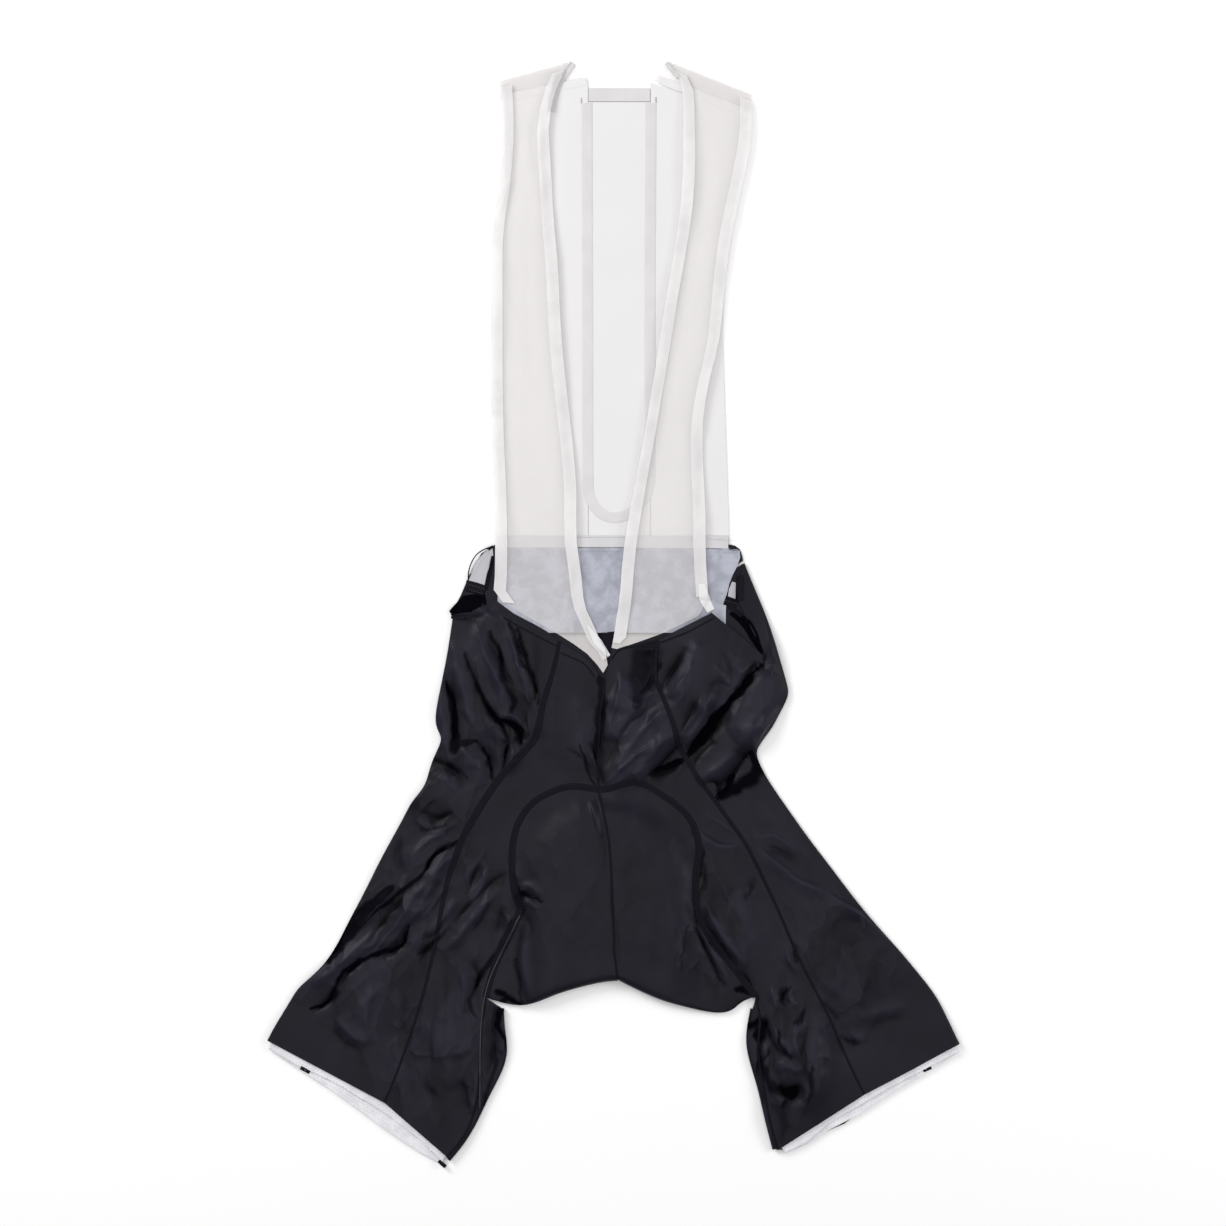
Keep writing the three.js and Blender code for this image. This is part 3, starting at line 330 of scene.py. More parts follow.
# Creases of the white straps, and of their bindings with them.
STRAP_CREASES = table(
    CREASE,
    (535, 116, 531, 140, 538, 196, 2.2, -1.2, 0.3),
    (541, 120, 540, 160, 544, 200, 4, 1.4, 0.0),
    (512, 140, 506, 190, 500, 214, 3, 1.2, 0.3),
    (520, 130, 514, 186, 505, 230, 3, -0.9, 0.3),
    (556, 70, 549, 92, 546, 118, 3, 1.8, 0.2),
    (566, 76, 558, 98, 552, 112, 2.5, -1.4, 0.2),
    (705, 143, 720, 142, 734, 143, 1.6, 1.0, 0.0),
    (716, 142, 716, 190, 708, 260, 8, 1.2, 0.2),
    (690, 100, 692, 180, 690, 250, 5, 1.0, 0.2),
    (704, 160, 700, 230, 694, 290, 3, -0.8, 0.2),
    (500, 240, 506, 330, 512, 420, 9, 1.2, 0.2),
    (526, 220, 528, 320, 536, 420, 4, -0.8, 0.2),
    (545, 230, 556, 330, 566, 430, 6, 1.0, 0.0),
    (510, 420, 520, 500, 540, 560, 10, 1.0, 0.2),
    (530, 440, 545, 490, 552, 540, 4, -0.7, 0.2),
    (700, 260, 690, 340, 672, 420, 9, 1.2, 0.2),
    (676, 300, 668, 360, 656, 420, 4, -0.8, 0.2),
    (690, 400, 676, 470, 660, 520, 10, 1.0, 0.2),
    (706, 380, 702, 450, 696, 530, 5, -0.7, 0.2),
    (571, 560, 567, 610, 563, 648, 2.2, 1.2, 0.3),
    (579, 572, 585, 620, 591, 662, 2.2, 1.0, 0.3),
    (575, 565, 575, 610, 577, 650, 2.5, -0.9, 0.3),
    (500, 596, 512, 604, 528, 616, 3, 0.8, 0.0),
    (690, 560, 664, 590, 640, 640, 5, 0.9, 0.2),
    (640, 570, 632, 610, 622, 640, 3, -0.6, 0.2),
)

# Patches of small wrinkles: centre in photo pixels, reach across and up in millimetres, the way that they
# run in degrees, the distance between them and their height in millimetres.
PATCH = "x y across up turn pitch high seed"
BLACK_PATCHES = table(
    PATCH,
    (440, 900, 60, 60, 55, 11, 1.5, 1),
    (380, 1000, 55, 60, 45, 14, 1.2, 2),
    (440, 1070, 60, 50, 100, 15, 1.1, 3),
    (790, 1060, 30, 50, 95, 11, 1.5, 4),
    (850, 960, 55, 60, 125, 22, 0.8, 5),
    (650, 730, 55, 45, 50, 14, 1.2, 6),
    (490, 700, 45, 70, 110, 13, 1.0, 7),
    (740, 700, 30, 60, 65, 14, 0.9, 8),
    (600, 880, 85, 75, 92, 30, 0.4, 9),
    (720, 930, 28, 60, 120, 11, 1.0, 10),
    (440, 800, 35, 35, 20, 11, 1.2, 11),
    (500, 1030, 22, 50, 95, 9, 1.0, 12),
    (360, 930, 45, 50, 48, 5.5, 0.7, 13),
    (450, 890, 45, 40, 52, 5.5, 0.6, 14),
    (460, 1010, 40, 70, 95, 6, 0.5, 15),
    (500, 690, 40, 60, 108, 6, 0.5, 16),
    (650, 720, 50, 50, 48, 6, 0.5, 17),
    (790, 1050, 34, 50, 100, 5.5, 0.7, 18),
    (700, 940, 30, 50, 118, 5, 0.5, 19),
    (820, 940, 60, 70, 125, 7, 0.35, 20),
    (600, 900, 85, 70, 90, 9, 0.22, 31),
    (430, 760, 30, 34, 30, 5.5, 0.6, 32),
    (770, 800, 50, 60, 128, 7, 0.35, 33),
)
WHITE_PATCHES = table(
    PATCH,
    (535, 300, 60, 260, 88, 12, 0.5, 21),
    (690, 300, 60, 260, 100, 12, 0.5, 22),
    (560, 600, 60, 40, 120, 9, 0.4, 23),
    (680, 590, 60, 40, 60, 9, 0.4, 24),
)


def smooth(low, high, value):
    """0 below low, 1 above high, an S between them."""
    share = np.clip((value - low) / (high - low), 0, 1)
    return share * share * (3 - 2 * share)


def from_photo(x, y):
    """A photo pixel's place on the floor."""
    return np.array([(x - ORIGIN_PIXEL[0]) * PIXEL, (ORIGIN_PIXEL[1] - y) * PIXEL])


def smooth_line(points, steps):
    """A smooth line through points, with that many steps between each two."""
    points = np.asarray(points, float)
    ends = 2 * points[0] - points[1], 2 * points[-1] - points[-2]
    p = np.vstack([ends[0], points, ends[1]])
    share = np.linspace(0, 1, steps, endpoint=False)[:, None]
    spans = []
    for a, b, c, d in zip(p, p[1:], p[2:], p[3:], strict=False):
        bend = 2 * b + (c - a) * share + (2 * a - 5 * b + 4 * c - d) * share**2
        bend += (3 * b - a - 3 * c + d) * share**3
        spans.append(bend / 2)
    return np.vstack([*spans, points[-1:]])


def from_line(line, x, y):
    """How far each point is from a line, how far along it, 0 to 1, and on which side of it, 1 or -1."""
    away, along, side = np.full(len(x), 1.0), np.zeros(len(x)), np.zeros(len(x))
    for k, (a, b) in enumerate(zip(line, line[1:], strict=False)):
        step = b - a
        px, py = x - a[0], y - a[1]
        share = np.clip((px * step[0] + py * step[1]) / step.dot(step), 0, 1)
        qx, qy = px - share * step[0], py - share * step[1]
        distance = np.hypot(qx, qy)
        closer = distance < away
        away[closer] = distance[closer]
        along[closer] = ((k + share) / (len(line) - 1))[closer]
        side[closer] = np.sign(step[0] * qy - step[1] * qx)[closer]
    return away, along, side


def near_line(line, reach, x, y):
    """Which points lie in the box round a line, grown by reach."""
    low, high = line.min(0) - reach, line.max(0) + reach
    return (x > low[0]) & (x < high[0]) & (y > low[1]) & (y < high[1])


CREASE_STEPS = 6
# How a trough and a ridge narrow to their line: share of the stated width, and how round they are.
TROUGH_SHAPE = (0.72, 1.05)
RIDGE_SHAPE = (0.8, 1.25)


def crease_height(crease, x, y):
    """A crease's height at each point."""
    ends = [from_photo(crease.fromX, crease.fromY), from_photo(crease.viaX, crease.viaY)]
    line = smooth_line([*ends, from_photo(crease.toX, crease.toY)], CREASE_STEPS)
    wide = crease.wide * MM
    near = near_line(line, 3 * wide, x, y)
    away, along, side = from_line(line, x[near], y[near])
    share, roundness = TROUGH_SHAPE if crease.high < 0 else RIDGE_SHAPE
    half = wide * share * (1 + crease.lean * side)
    taper = 1 - np.abs(2 * along - 1) ** 3
    height = np.zeros(len(x))
    height[near] = crease.high * MM * taper * np.exp(-((away / half) ** roundness))
    return height


SHADE_WANDER = 1.6 * MM
SHADE_PITCH = 6 * MM
SHADE_EDGE = (1.35, 0.7)


def shade(x, y):
    """How much painted shade falls in the hollows at each point, 0 to 1."""
    u, v = x / SHADE_PITCH, y / SHADE_PITCH
    x = x + SHADE_WANDER * (2 * lattice_noise(u, v, 94) - 1)
    y = y + SHADE_WANDER * (2 * lattice_noise(u, v, 95) - 1)
    dark = np.zeros(len(x))
    for row in SHADES:
        line = smooth_line([from_photo(*point) for point in row.points], 3)
        near = near_line(line, 3 * max(row.wide) * MM, x, y)
        if not near.any():
            continue
        away, along, _ = from_line(line, x[near], y[near])
        half = np.interp(along, (0, 0.5, 1), row.wide) * MM
        dark[near] = np.maximum(dark[near], row.deep * smooth(*SHADE_EDGE, away / half))
    return dark


def lattice_noise(u, v, seed):
    """Smooth noise from 0 to 1 that changes over steps of 1."""
    size = 64
    corners = np.random.default_rng(seed).random((size, size))
    column, row = np.floor(u).astype(int), np.floor(v).astype(int)
    across, up = smooth(0, 1, u - column), smooth(0, 1, v - row)

    def at(i, j):
        return corners[(column + i) % size, (row + j) % size]

    low = at(0, 0) * (1 - across) + at(1, 0) * across
    high = at(0, 1) * (1 - across) + at(1, 1) * across
    return low * (1 - up) + high * up


WRINKLE_LONG = 3.5


def patch_share(patch, x, y):
    """How much of a patch of wrinkles there is at each point, and the point's place in it."""
    centre = from_photo(patch.x, patch.y)
    dx, dy = x - centre[0], y - centre[1]
    return np.exp(-((dx / (patch.across * MM)) ** 2 + (dy / (patch.up * MM)) ** 2) ** 2), dx, dy


def crumple(patches, x, y):
    """How crumpled the cloth is at each point, 0 to 1."""
    return np.minimum(sum(patch.high * patch_share(patch, x, y)[0] for patch in patches), 1)


def patch_height(patch, x, y):
    """Small wrinkles that run one way and fade out round a centre."""
    share, dx, dy = patch_share(patch, x, y)
    turn, pitch = math.radians(patch.turn), patch.pitch * MM
    along = (dx * math.cos(turn) + dy * math.sin(turn)) / (pitch * WRINKLE_LONG)
    across = (dy * math.cos(turn) - dx * math.sin(turn)) / pitch
    across = across + 1.4 * lattice_noise(along, across / 3, patch.seed + 50)
    ridges = 1 - np.abs(2 * lattice_noise(along, across, patch.seed) - 1)
    return patch.high * MM * share * (ridges**1.5 - 0.4)


SWELL_WIDE = 12
WANDER = 1.3 * MM
WANDER_PITCH = 13 * MM


def relief(creases, patches, x, y):
    """The height of all the folds together, and of all the broad swells. Their lines wander a little."""
    u, v = x / WANDER_PITCH, y / WANDER_PITCH
    x = x + WANDER * (2 * lattice_noise(u, v, 91) - 1)
    y = y + WANDER * (2 * lattice_noise(u, v, 92) - 1)
    uneven = 0.7 + 0.6 * lattice_noise(1.3 * u, 1.3 * v, 93)
    folds, swells = np.zeros(len(x)), np.zeros(len(x))
    for crease in creases:
        kind = folds if crease.wide < SWELL_WIDE else swells
        kind += crease_height(crease, x, y) * uneven
    for patch in patches:
        folds += patch_height(patch, x, y)
    return folds, swells


def pick(*objects):
    """Selects only these objects, the first one active."""
    bpy.ops.object.select_all(action="DESELECT")
    for piece in objects:
        piece.select_set(True)
    bpy.context.view_layer.objects.active = objects[0]


def finished(piece, material):
    """Gives a piece its finish and lets it ride on the garment."""
    piece.data.materials.clear()
    piece.data.materials.append(material)
    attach(piece, "root")
    return piece


def apply_all(piece):
    """Applies a piece's modifiers."""
    pick(piece)
    for modifier in list(piece.modifiers):
        bpy.ops.object.modifier_apply(modifier=modifier.name)


def cloth_from(node, name, levels):
    """A node's wall as one smooth cloth: welded, its rim kept crisp, its rows rounded."""
    piece = bpy.data.objects.new(name, frame["nodes"][node].data.copy())
    bpy.context.scene.collection.objects.link(piece)
    pick(piece)
    bpy.ops.mesh.customdata_custom_splitnormals_clear()
    bpy.ops.object.mode_set(mode="EDIT")
    bpy.ops.mesh.select_all(action="SELECT")
    bpy.ops.mesh.remove_doubles(threshold=0.02 * MM)
    bpy.ops.mesh.tris_convert_to_quads(face_threshold=math.radians(50), shape_threshold=math.radians(60))
    bpy.ops.mesh.select_all(action="DESELECT")
    bpy.ops.mesh.edges_select_sharp(sharpness=math.radians(62))
    bpy.ops.transform.edge_crease(value=1)
    bpy.ops.object.mode_set(mode="OBJECT")
    rounding = piece.modifiers.new("rounding", "SUBSURF")
    rounding.levels = rounding.render_levels = levels
    apply_all(piece)
    bpy.ops.object.shade_smooth_by_angle(angle=math.radians(50))
    return piece


def points_of(piece):
    """A piece's points as an array."""
    points = np.empty(3 * len(piece.data.vertices), np.float32)
    piece.data.vertices.foreach_get("co", points)
    return points.reshape(-1, 3).astype(float)


def put_points(piece, points):
    """Moves a piece's points."""
    piece.data.vertices.foreach_set("co", np.asarray(points, np.float32).ravel())
    piece.data.update()


def note(piece, name, values):
    """Keeps a number for each point, for the piece's finish."""
    kept = piece.data.attributes.new(name, "FLOAT", "POINT")
    kept.data.foreach_set("value", np.asarray(values, np.float32))


# Between these heights in the plan the straps' mesh turns double, towards their ends.
FACING_TOP = (-17 * MM, -23 * MM)


def raise_creases(piece, creases, patches, free, floor):
    """Lays creases in a cloth. They start where its height passes free, and it stays above floor."""
    points = points_of(piece)
    folds, swells = relief(creases, patches, points[:, 0], points[:, 1])
    share = smooth(free[0], free[1], points[:, 2])
    moved = points[:, 2] + share * (folds + swells)
    lowest = np.minimum(points[:, 2], floor + 0.3 * (points[:, 2] - free[0]))
    points[:, 2] = np.maximum(moved, lowest)
    put_points(piece, points)
    note(piece, "fold_height", share * folds / MM)
    if creases is STRAP_CREASES:
        facing = smooth(FACING_TOP[0], FACING_TOP[1], points[:, 1])
        note(piece, "facing", facing)
    if creases is BLACK_CREASES:
        note(piece, "crumple", crumple(patches, points[:, 0], points[:, 1]))
        # Painted shade for the hollows, read by the stretch finish.
        note(piece, "painted_shade", shade(points[:, 0], points[:, 1]) * (points[:, 2] > free[0]))


def surface_of(pieces):
    """What lies under a place: a tree of all the pieces' faces."""
    corners, faces = [], []
    for piece in pieces:
        start = len(corners)
        corners.extend(piece.data.vertices[i].co for i in range(len(piece.data.vertices)))
        faces.extend([start + i for i in face.vertices] for face in piece.data.polygons)
    return BVHTree.FromPolygons(corners, faces)


DOWN = Vector((0, 0, -1))
SEAM_GAP = 0.7 * MM
ROUND = ((1, 0), (0, 1), (-1, 0), (0, -1))


def height_on(surface, x, y, otherwise, gap=SEAM_GAP):
    """The top of the pieces at a place, seams and slits up to twice the gap wide bridged."""
    places = [(x, y)] + [(x + gap * a, y + gap * b) for a, b in ROUND if gap]
    hits = [surface.ray_cast(Vector((px, py, 0.1)), DOWN)[0] for px, py in places]
    return max((hit.z for hit in hits if hit), default=otherwise)


def seam_between(one, other, start):
    """The line along which two nodes meet, on their upper faces, from the end that is nearest to start."""
    apart = 1.1 * MM
    walls = []
    for node in (one, other):
        co = np.array([v.co for v in frame["nodes"][node].data.vertices]).round(5)
        walls.append(np.unique(co, axis=0))
    middles = []
    for point in walls[0]:
        away = np.linalg.norm(walls[1] - point, axis=1)
        if away.min() < apart:
            middles.append((point + walls[1][away.argmin()]) / 2)
    left = sorted(middles, key=lambda p: -p[2])
    tops = []
    for point in left:
        if all(np.hypot(*(point - kept)[:2]) > 2.0 * MM for kept in tops):
            tops.append(point)
    here = np.array(start)
    line = []
    while tops:
        nearest = min(range(len(tops)), key=lambda i: np.hypot(*(tops[i][:2] - here)))
        here = tops[nearest][:2]
        line.append(tops.pop(nearest))
    return np.array(line)


def relaxed(line, rounds=3):
    """A line with its corners rounded off and its ends kept."""
    line = np.array(line, float)
    for _ in range(rounds):
        line[1:-1] = 0.25 * line[:-2] + 0.5 * line[1:-1] + 0.25 * line[2:]
    return line


def evenly(line, step):
    """A line's points again, a step apart, in plan."""
    dense = smooth_line(np.asarray(line)[:, :2], 8)
    lengths = np.concatenate([[0], np.cumsum(np.linalg.norm(np.diff(dense, axis=0), axis=1))])
    count = max(int(round(lengths[-1] / step)), 2)
    places = np.linspace(0, lengths[-1], count + 1)
    return np.column_stack([np.interp(places, lengths, dense[:, i]) for i in (0, 1)])


def sideways(line):
    """The direction across a line at each point, to its left."""
    along = np.gradient(line, axis=0)
    along /= np.linalg.norm(along, axis=1)[:, None]
    return np.column_stack([-along[:, 1], along[:, 0]])


UNDER = -0.3 * MM


def strip(name, line, wide, thick, surface, lift=0.15 * MM, step=1.5 * MM, columns=4, otherwise=4 * MM):
    """A narrow band of cloth along a line, one width or several, on a surface or under the garment."""
    widths = wide if isinstance(wide, tuple) else (wide, wide)
    line = relaxed(evenly(line, step), 10)
    across = sideways(line)
    pick_none()
    bpy.ops.mesh.primitive_grid_add(x_subdivisions=len(line) - 1, y_subdivisions=columns, size=1)
    piece = bpy.context.object
    piece.name = name
    points = points_of(piece)
    row = np.rint((points[:, 0] + 0.5) * (len(line) - 1)).astype(int)
    beside = points[:, 1] * np.interp(row / (len(line) - 1), np.linspace(0, 1, len(widths)), widths)
    points[:, 0] = line[row, 0] + across[row, 0] * beside
    points[:, 1] = line[row, 1] + across[row, 1] * beside
    if surface:
        points[:, 2] = [height_on(surface, x, y, otherwise) + lift for x, y in points[:, :2]]
    else:
        points[:, 2] = UNDER
    put_points(piece, points)
    note(piece, "along", row * step / MM)
    note(piece, "beside", beside / MM)
    wall = piece.modifiers.new("wall", "SOLIDIFY")
    wall.thickness = thick
    wall.offset = 1
    edge = piece.modifiers.new("edge", "BEVEL")
    edge.width = 0.3 * thick
    edge.segments = 2
    edge.angle_limit = math.radians(50)
    apply_all(piece)
    bpy.ops.object.shade_smooth_by_angle(angle=math.radians(60))
    return piece


def pick_none():
    """Selects nothing, so that an operator acts on its new piece alone."""
    bpy.ops.object.select_all(action="DESELECT")


def threads(name, spots, radius, surface, lift=0.3 * MM):
    """Stitches: one rounded thread for each spot (x, y, turn, length), joined as one piece."""
    pick_none()
    bpy.ops.mesh.primitive_uv_sphere_add(segments=5, ring_count=3, radius=1)
    piece = bpy.context.object
    piece.name = name
    shape = points_of(piece)
    faces = [tuple(face.vertices) for face in piece.data.polygons]
    corners, all_faces = [], []
    for count, (x, y, turn, length) in enumerate(spots):
        local = shape * (length / 2, radius, radius)
        along, beside = local[:, 0], local[:, 1]
        px = x + along * math.cos(turn) - beside * math.sin(turn)
        py = y + along * math.sin(turn) + beside * math.cos(turn)
        z = height_on(surface, x, y, 4 * MM) + lift
        corners.append(np.column_stack([px, py, z + local[:, 2]]))
        all_faces.extend(tuple(i + count * len(shape) for i in face) for face in faces)
    mesh = bpy.data.meshes.new(name)
    mesh.from_pydata(np.vstack(corners).tolist(), [], all_faces)
    piece.data = mesh
    pick(piece)
    bpy.ops.object.shade_smooth()
    return piece


def stitch_spots(line, pitch, length, offset=0.0, turn=0.0):
    """Places for stitches along a line: x, y, direction and length of each."""
    line = relaxed(evenly(line, 1.5 * MM), 10)
    line = evenly(line, pitch)
    across = sideways(line)
    spots = []
    for point, beside in zip(line, across, strict=True):
        place = point + beside * offset
        spots.append((*place, math.atan2(-beside[0], beside[1]) + turn, length))
    return spots


class Value:
    """A number that changes over a surface. Arithmetic on it adds Math nodes."""

    def __init__(self, finish, socket):
        self.finish = finish
        self.socket = socket

    def math(self, operation, *others):
        return self.finish.node("Math", {"operation": operation}, dict(enumerate((self, *others))))

    def reflected(self, operation, other):
        return self.finish.node("Math", {"operation": operation}, {0: other, 1: self})

    def __add__(self, other):
        return self.math("ADD", other)

    def __sub__(self, other):
        return self.math("SUBTRACT", other)

    def __mul__(self, other):
        return self.math("MULTIPLY", other)

    def __truediv__(self, other):
        return self.math("DIVIDE", other)

    def __pow__(self, other):
        return self.math("POWER", other)

    def __rsub__(self, other):
        return self.reflected("SUBTRACT", other)

    __radd__ = __add__
    __rmul__ = __mul__

    def between(self, low, high):
        """0 at low and 1 at high, held there."""
        settings = {"clamp": True, "interpolation_type": "SMOOTHSTEP"}
        return self.finish.node("MapRange", settings, {0: self, 1: low, 2: high, 3: 0, 4: 1})


class Finish:
    """A material and the one method that makes its nodes."""

    def __init__(self, name):
        self.material = bpy.data.materials.new(name)
        self.material.use_nodes = True
        self.tree = self.material.node_tree
        self.tree.nodes.clear()

    def node(self, kind, settings=None, inputs=None, output=0):
        """Adds a node, sets it, then fills its sockets with values or links. Returns one of its outputs."""
        node = self.tree.nodes.new("ShaderNode" + kind)
        for name, value in (settings or {}).items():
            setattr(node, name, value)
        for name, value in (inputs or {}).items():
            if isinstance(value, Value):
                self.tree.links.new(value.socket, node.inputs[name])
            else:
                node.inputs[name].default_value = value
        return None if output is None else Value(self, node.outputs[output])

    def place(self, scale):
        """Object coordinates in metres, times a scale for each axis."""
        here = self.node("TexCoord", output="Object")
        return self.node("Mapping", None, {"Vector": here, "Scale": scale})

    def noise(self, scale, detail=2.0, stretch=(1, 1, 1)):
        """Noise with that many changes in a metre."""
        sockets = {"Vector": self.place(stretch), "Scale": scale, "Detail": detail}
        return self.node("TexNoise", None, sockets)

    def axis(self, letter):
        """One of the object's own coordinates, in metres."""
        here = self.node("TexCoord", output="Object")
        return self.node("SeparateXYZ", None, {0: here}, "XYZ".index(letter))

    def colour(self, share, dark, light):
        """A colour from dark to light."""
        return self.node("Mix", {"data_type": "RGBA"}, {0: share, 6: (*dark, 1), 7: (*light, 1)}, 2)

    def bump(self, height, distance, strength=1.0, before=None):
        """A normal from a height of 0 to 1 and the distance that 1 stands for."""
        sockets = {"Height": height, "Distance": distance, "Strength": strength}
        if before:
            sockets["Normal"] = before
        return self.node("Bump", None, sockets)

    def close(self, sockets):
        """Ends in a Principled shader with these sockets."""
        shader = self.node("BsdfPrincipled", None, sockets, "BSDF")
        self.node("OutputMaterial", None, {"Surface": shader}, None)
        return self.material


TURN = 2 * math.pi


def knit(finish, wale, course):
    """Loops of a fine knit, 0 to 1: wales apart across, courses apart along."""
    across = (finish.axis("X") * (TURN / wale)).math("SINE")
    along = (finish.axis("Y") * (TURN / course)).math("SINE")
    return across * along * 0.5 + 0.5


def stretch_finish(look):
    """Black warp knit with a faint gloss and a cloudy tone, with painted shade in its folds, an unlit black
    painted into its hollows, and painted light on the backs of folds and on the facets of crumpled patches.
    """
    finish = Finish("stretch_cloth")
    fold = finish.node("Attribute", {"attribute_name": "fold_height"}, None, "Fac")
    painted_shade = finish.node("Attribute", {"attribute_name": "painted_shade"}, None, "Fac")
    crumple = finish.node("Attribute", {"attribute_name": "crumple"}, None, "Fac")
    bending = {"Vector": finish.place((1, 1, 1)), "Scale": 40, "Detail": 1}
    bent = finish.node("TexNoise", None, bending, "Color")
    leaning = {0: bent, 1: (0.016, 0.016, 0.016), 2: finish.place((1, 0.45, 1))}
    cells = {"Vector": finish.node("VectorMath", {"operation": "MULTIPLY_ADD"}, leaning), "Scale": 52}
    # Painted light: in crumpled patches each cell gets its own brightness, as a facet tilted towards or away
    # from the lamps would.
    facet_light_colours = finish.node("TexVoronoi", {"feature": "F1"}, cells, "Color")
    tilt = finish.node("SeparateColor", None, {0: facet_light_colours})
    painted_facet_light = (tilt - 0.5) * crumple * crumple * 0.34
    # The cloth's colour: a random cloudy tone, with painted shade in its troughs and painted highlight on its
    # ridges.
    share = fold * 0.2 + finish.noise(22, 4) * 0.5 + painted_facet_light + 0.2
    loops = finish.bump(knit(finish, 0.9 * MM, 0.7 * MM), 0.03 * MM, 0.5)
    crumpled = finish.bump(finish.noise(230, 4, (1, 0.6, 1)), 0.3 * MM, 0.3, loops)
    facets = finish.node("TexVoronoi", {"feature": "F1"}, cells, "Distance")
    faceted = finish.bump(facets * crumple, 3.4 * MM, 0.8, crumpled)
    lit = finish.node("BsdfPrincipled", None, {
        "Base Color": finish.colour(share.between(0, 1), look.black_dark_and_shade, look.black),
        "Roughness": finish.noise(35) * 0.14 + 0.36,
        "Specular IOR Level": 0.13,
        "Normal": faceted,
    }, "BSDF")
    unlit = finish.node("BsdfDiffuse", None, {"Color": (0.0012, 0.001, 0.002, 1), "Normal": crumpled}, "BSDF")
    # Painted shade: in the hollows and the deep troughs the cloth turns to an unlit near-black.
    painted_shade_share = painted_shade + fold.between(-0.8, -3.4) * 0.8
    mixed = finish.node("MixShader", None, {0: painted_shade_share, 1: lit, 2: unlit})
    finish.node("OutputMaterial", None, {"Surface": mixed}, None)
    return finish.material


def mesh_finish(look, name, colour, cover, pores):
    """Fine open mesh. It covers that share of what is under it, with pores that cover less."""
    finish = Finish(name)
    holes = knit(finish, 1.3 * MM, 1.1 * MM)
    fold = finish.node("Attribute", {"attribute_name": "fold_height"}, None, "Fac")
    # Painted shade in the straps' troughs and painted highlight on their ridges, over a random cloudy tone.
    share = (finish.noise(14, 3) * 0.7 + fold * 0.1 + 0.1).between(0, 1)
    darker = tuple(0.94 * part for part in colour)
    bumps = finish.bump(holes, 0.06 * MM, 0.5)
    sockets = {
        "Base Color": finish.colour(share, darker, colour),
        "Roughness": 0.8,
        "Specular IOR Level": 0.2,
        "Normal": finish.bump(finish.noise(150, 3), 0.3 * MM, 0.25, bumps),
    }
    if cover < 1:
        facing = finish.node("Attribute", {"attribute_name": "facing"}, None, "Fac")
        sockets["Alpha"] = holes * -pores + facing * 0.21 + (cover + pores / 2)
    return finish.close(sockets)


def band_finish(name, colour, rib, cover=1.0, gloss=0.25):
    """Soft elastic band with fine ribs across it. It covers that share of what is under it."""
    finish = Finish(name)
    ribs = (finish.axis("Y") * (TURN / rib)).math("SINE") * 0.5 + 0.5
    share = finish.noise(40, 3).between(0.2, 0.8)
    darker = tuple(0.92 * part for part in colour)
    soft = finish.bump(ribs, 0.05 * MM, 0.4)
    sockets = {
        "Base Color": finish.colour(share, darker, colour),
        "Roughness": 0.75,
        "Specular IOR Level": gloss,
        "Normal": finish.bump(finish.noise(300, 2), 0.15 * MM, 0.3, soft),
    }
    if cover < 1:
        sockets["Alpha"] = share * 0.06 + (cover - 0.03)
    return finish.close(sockets)


def seam_finish(name, colour):
    """Flat seam: threads that cross from edge to edge, with a looser row along the middle."""
    finish = Finish(name)
    along = finish.node("Attribute", {"attribute_name": "along"}, None, "Fac")
    beside = finish.node("Attribute", {"attribute_name": "beside"}, None, "Fac")
    slant = beside.math("ABSOLUTE") * 0.8
    ladder = ((along + slant) * (TURN / 1.25)).math("SINE") * 0.5 + 0.5
    middle = (beside.math("ABSOLUTE") * 3).between(0.2, 1)
    height = ladder * middle
    return finish.close({
        "Base Color": finish.colour(height, tuple(0.45 * part for part in colour), colour),
        "Roughness": finish.noise(400) * 0.2 + 0.5,
        "Specular IOR Level": 0.07,
        "Normal": finish.bump(height, 0.25 * MM, 0.8),
    })


def hollow_finish(name, colour):
    """Painted shade: a near-black sheet for cloth that lies unlit deep inside an opening."""
    finish = Finish(name)
    share = finish.noise(60, 3)
    return finish.close({
        "Base Color": finish.colour(share, tuple(0.4 * part for part in colour), colour),
        "Roughness": 0.95,
        "Specular IOR Level": 0.05,
        "Normal": finish.bump(finish.noise(200, 2), 0.3 * MM, 0.5),
    })


def thread_finish(name, colour, gloss):
    """Twisted polyester thread."""
    finish = Finish(name)
    twist = ((finish.axis("X") + finish.axis("Y")) * (TURN / (0.5 * MM))).math("SINE") * 0.5 + 0.5
    darker = tuple(0.7 * part for part in colour)
    return finish.close({
        "Base Color": finish.colour(twist, darker, colour),
        "Roughness": gloss,
        "Normal": finish.bump(twist, 0.05 * MM, 0.4),
    })


def knit_finish(name, colour, wale, course, rough, mottle=0.86):
    """Plain knit, cloudy by that share."""
    finish = Finish(name)
    share = (finish.noise(85, 5) * 0.8 + finish.noise(300, 2) * 0.2).between(0.38, 0.62)
    darker = tuple(mottle * part for part in colour)
    return finish.close({
        "Base Color": finish.colour(share, darker, colour),
        "Roughness": rough,
        "Normal": finish.bump(knit(finish, wale, course), 0.08 * MM, 0.6),
    })


MADE = {}


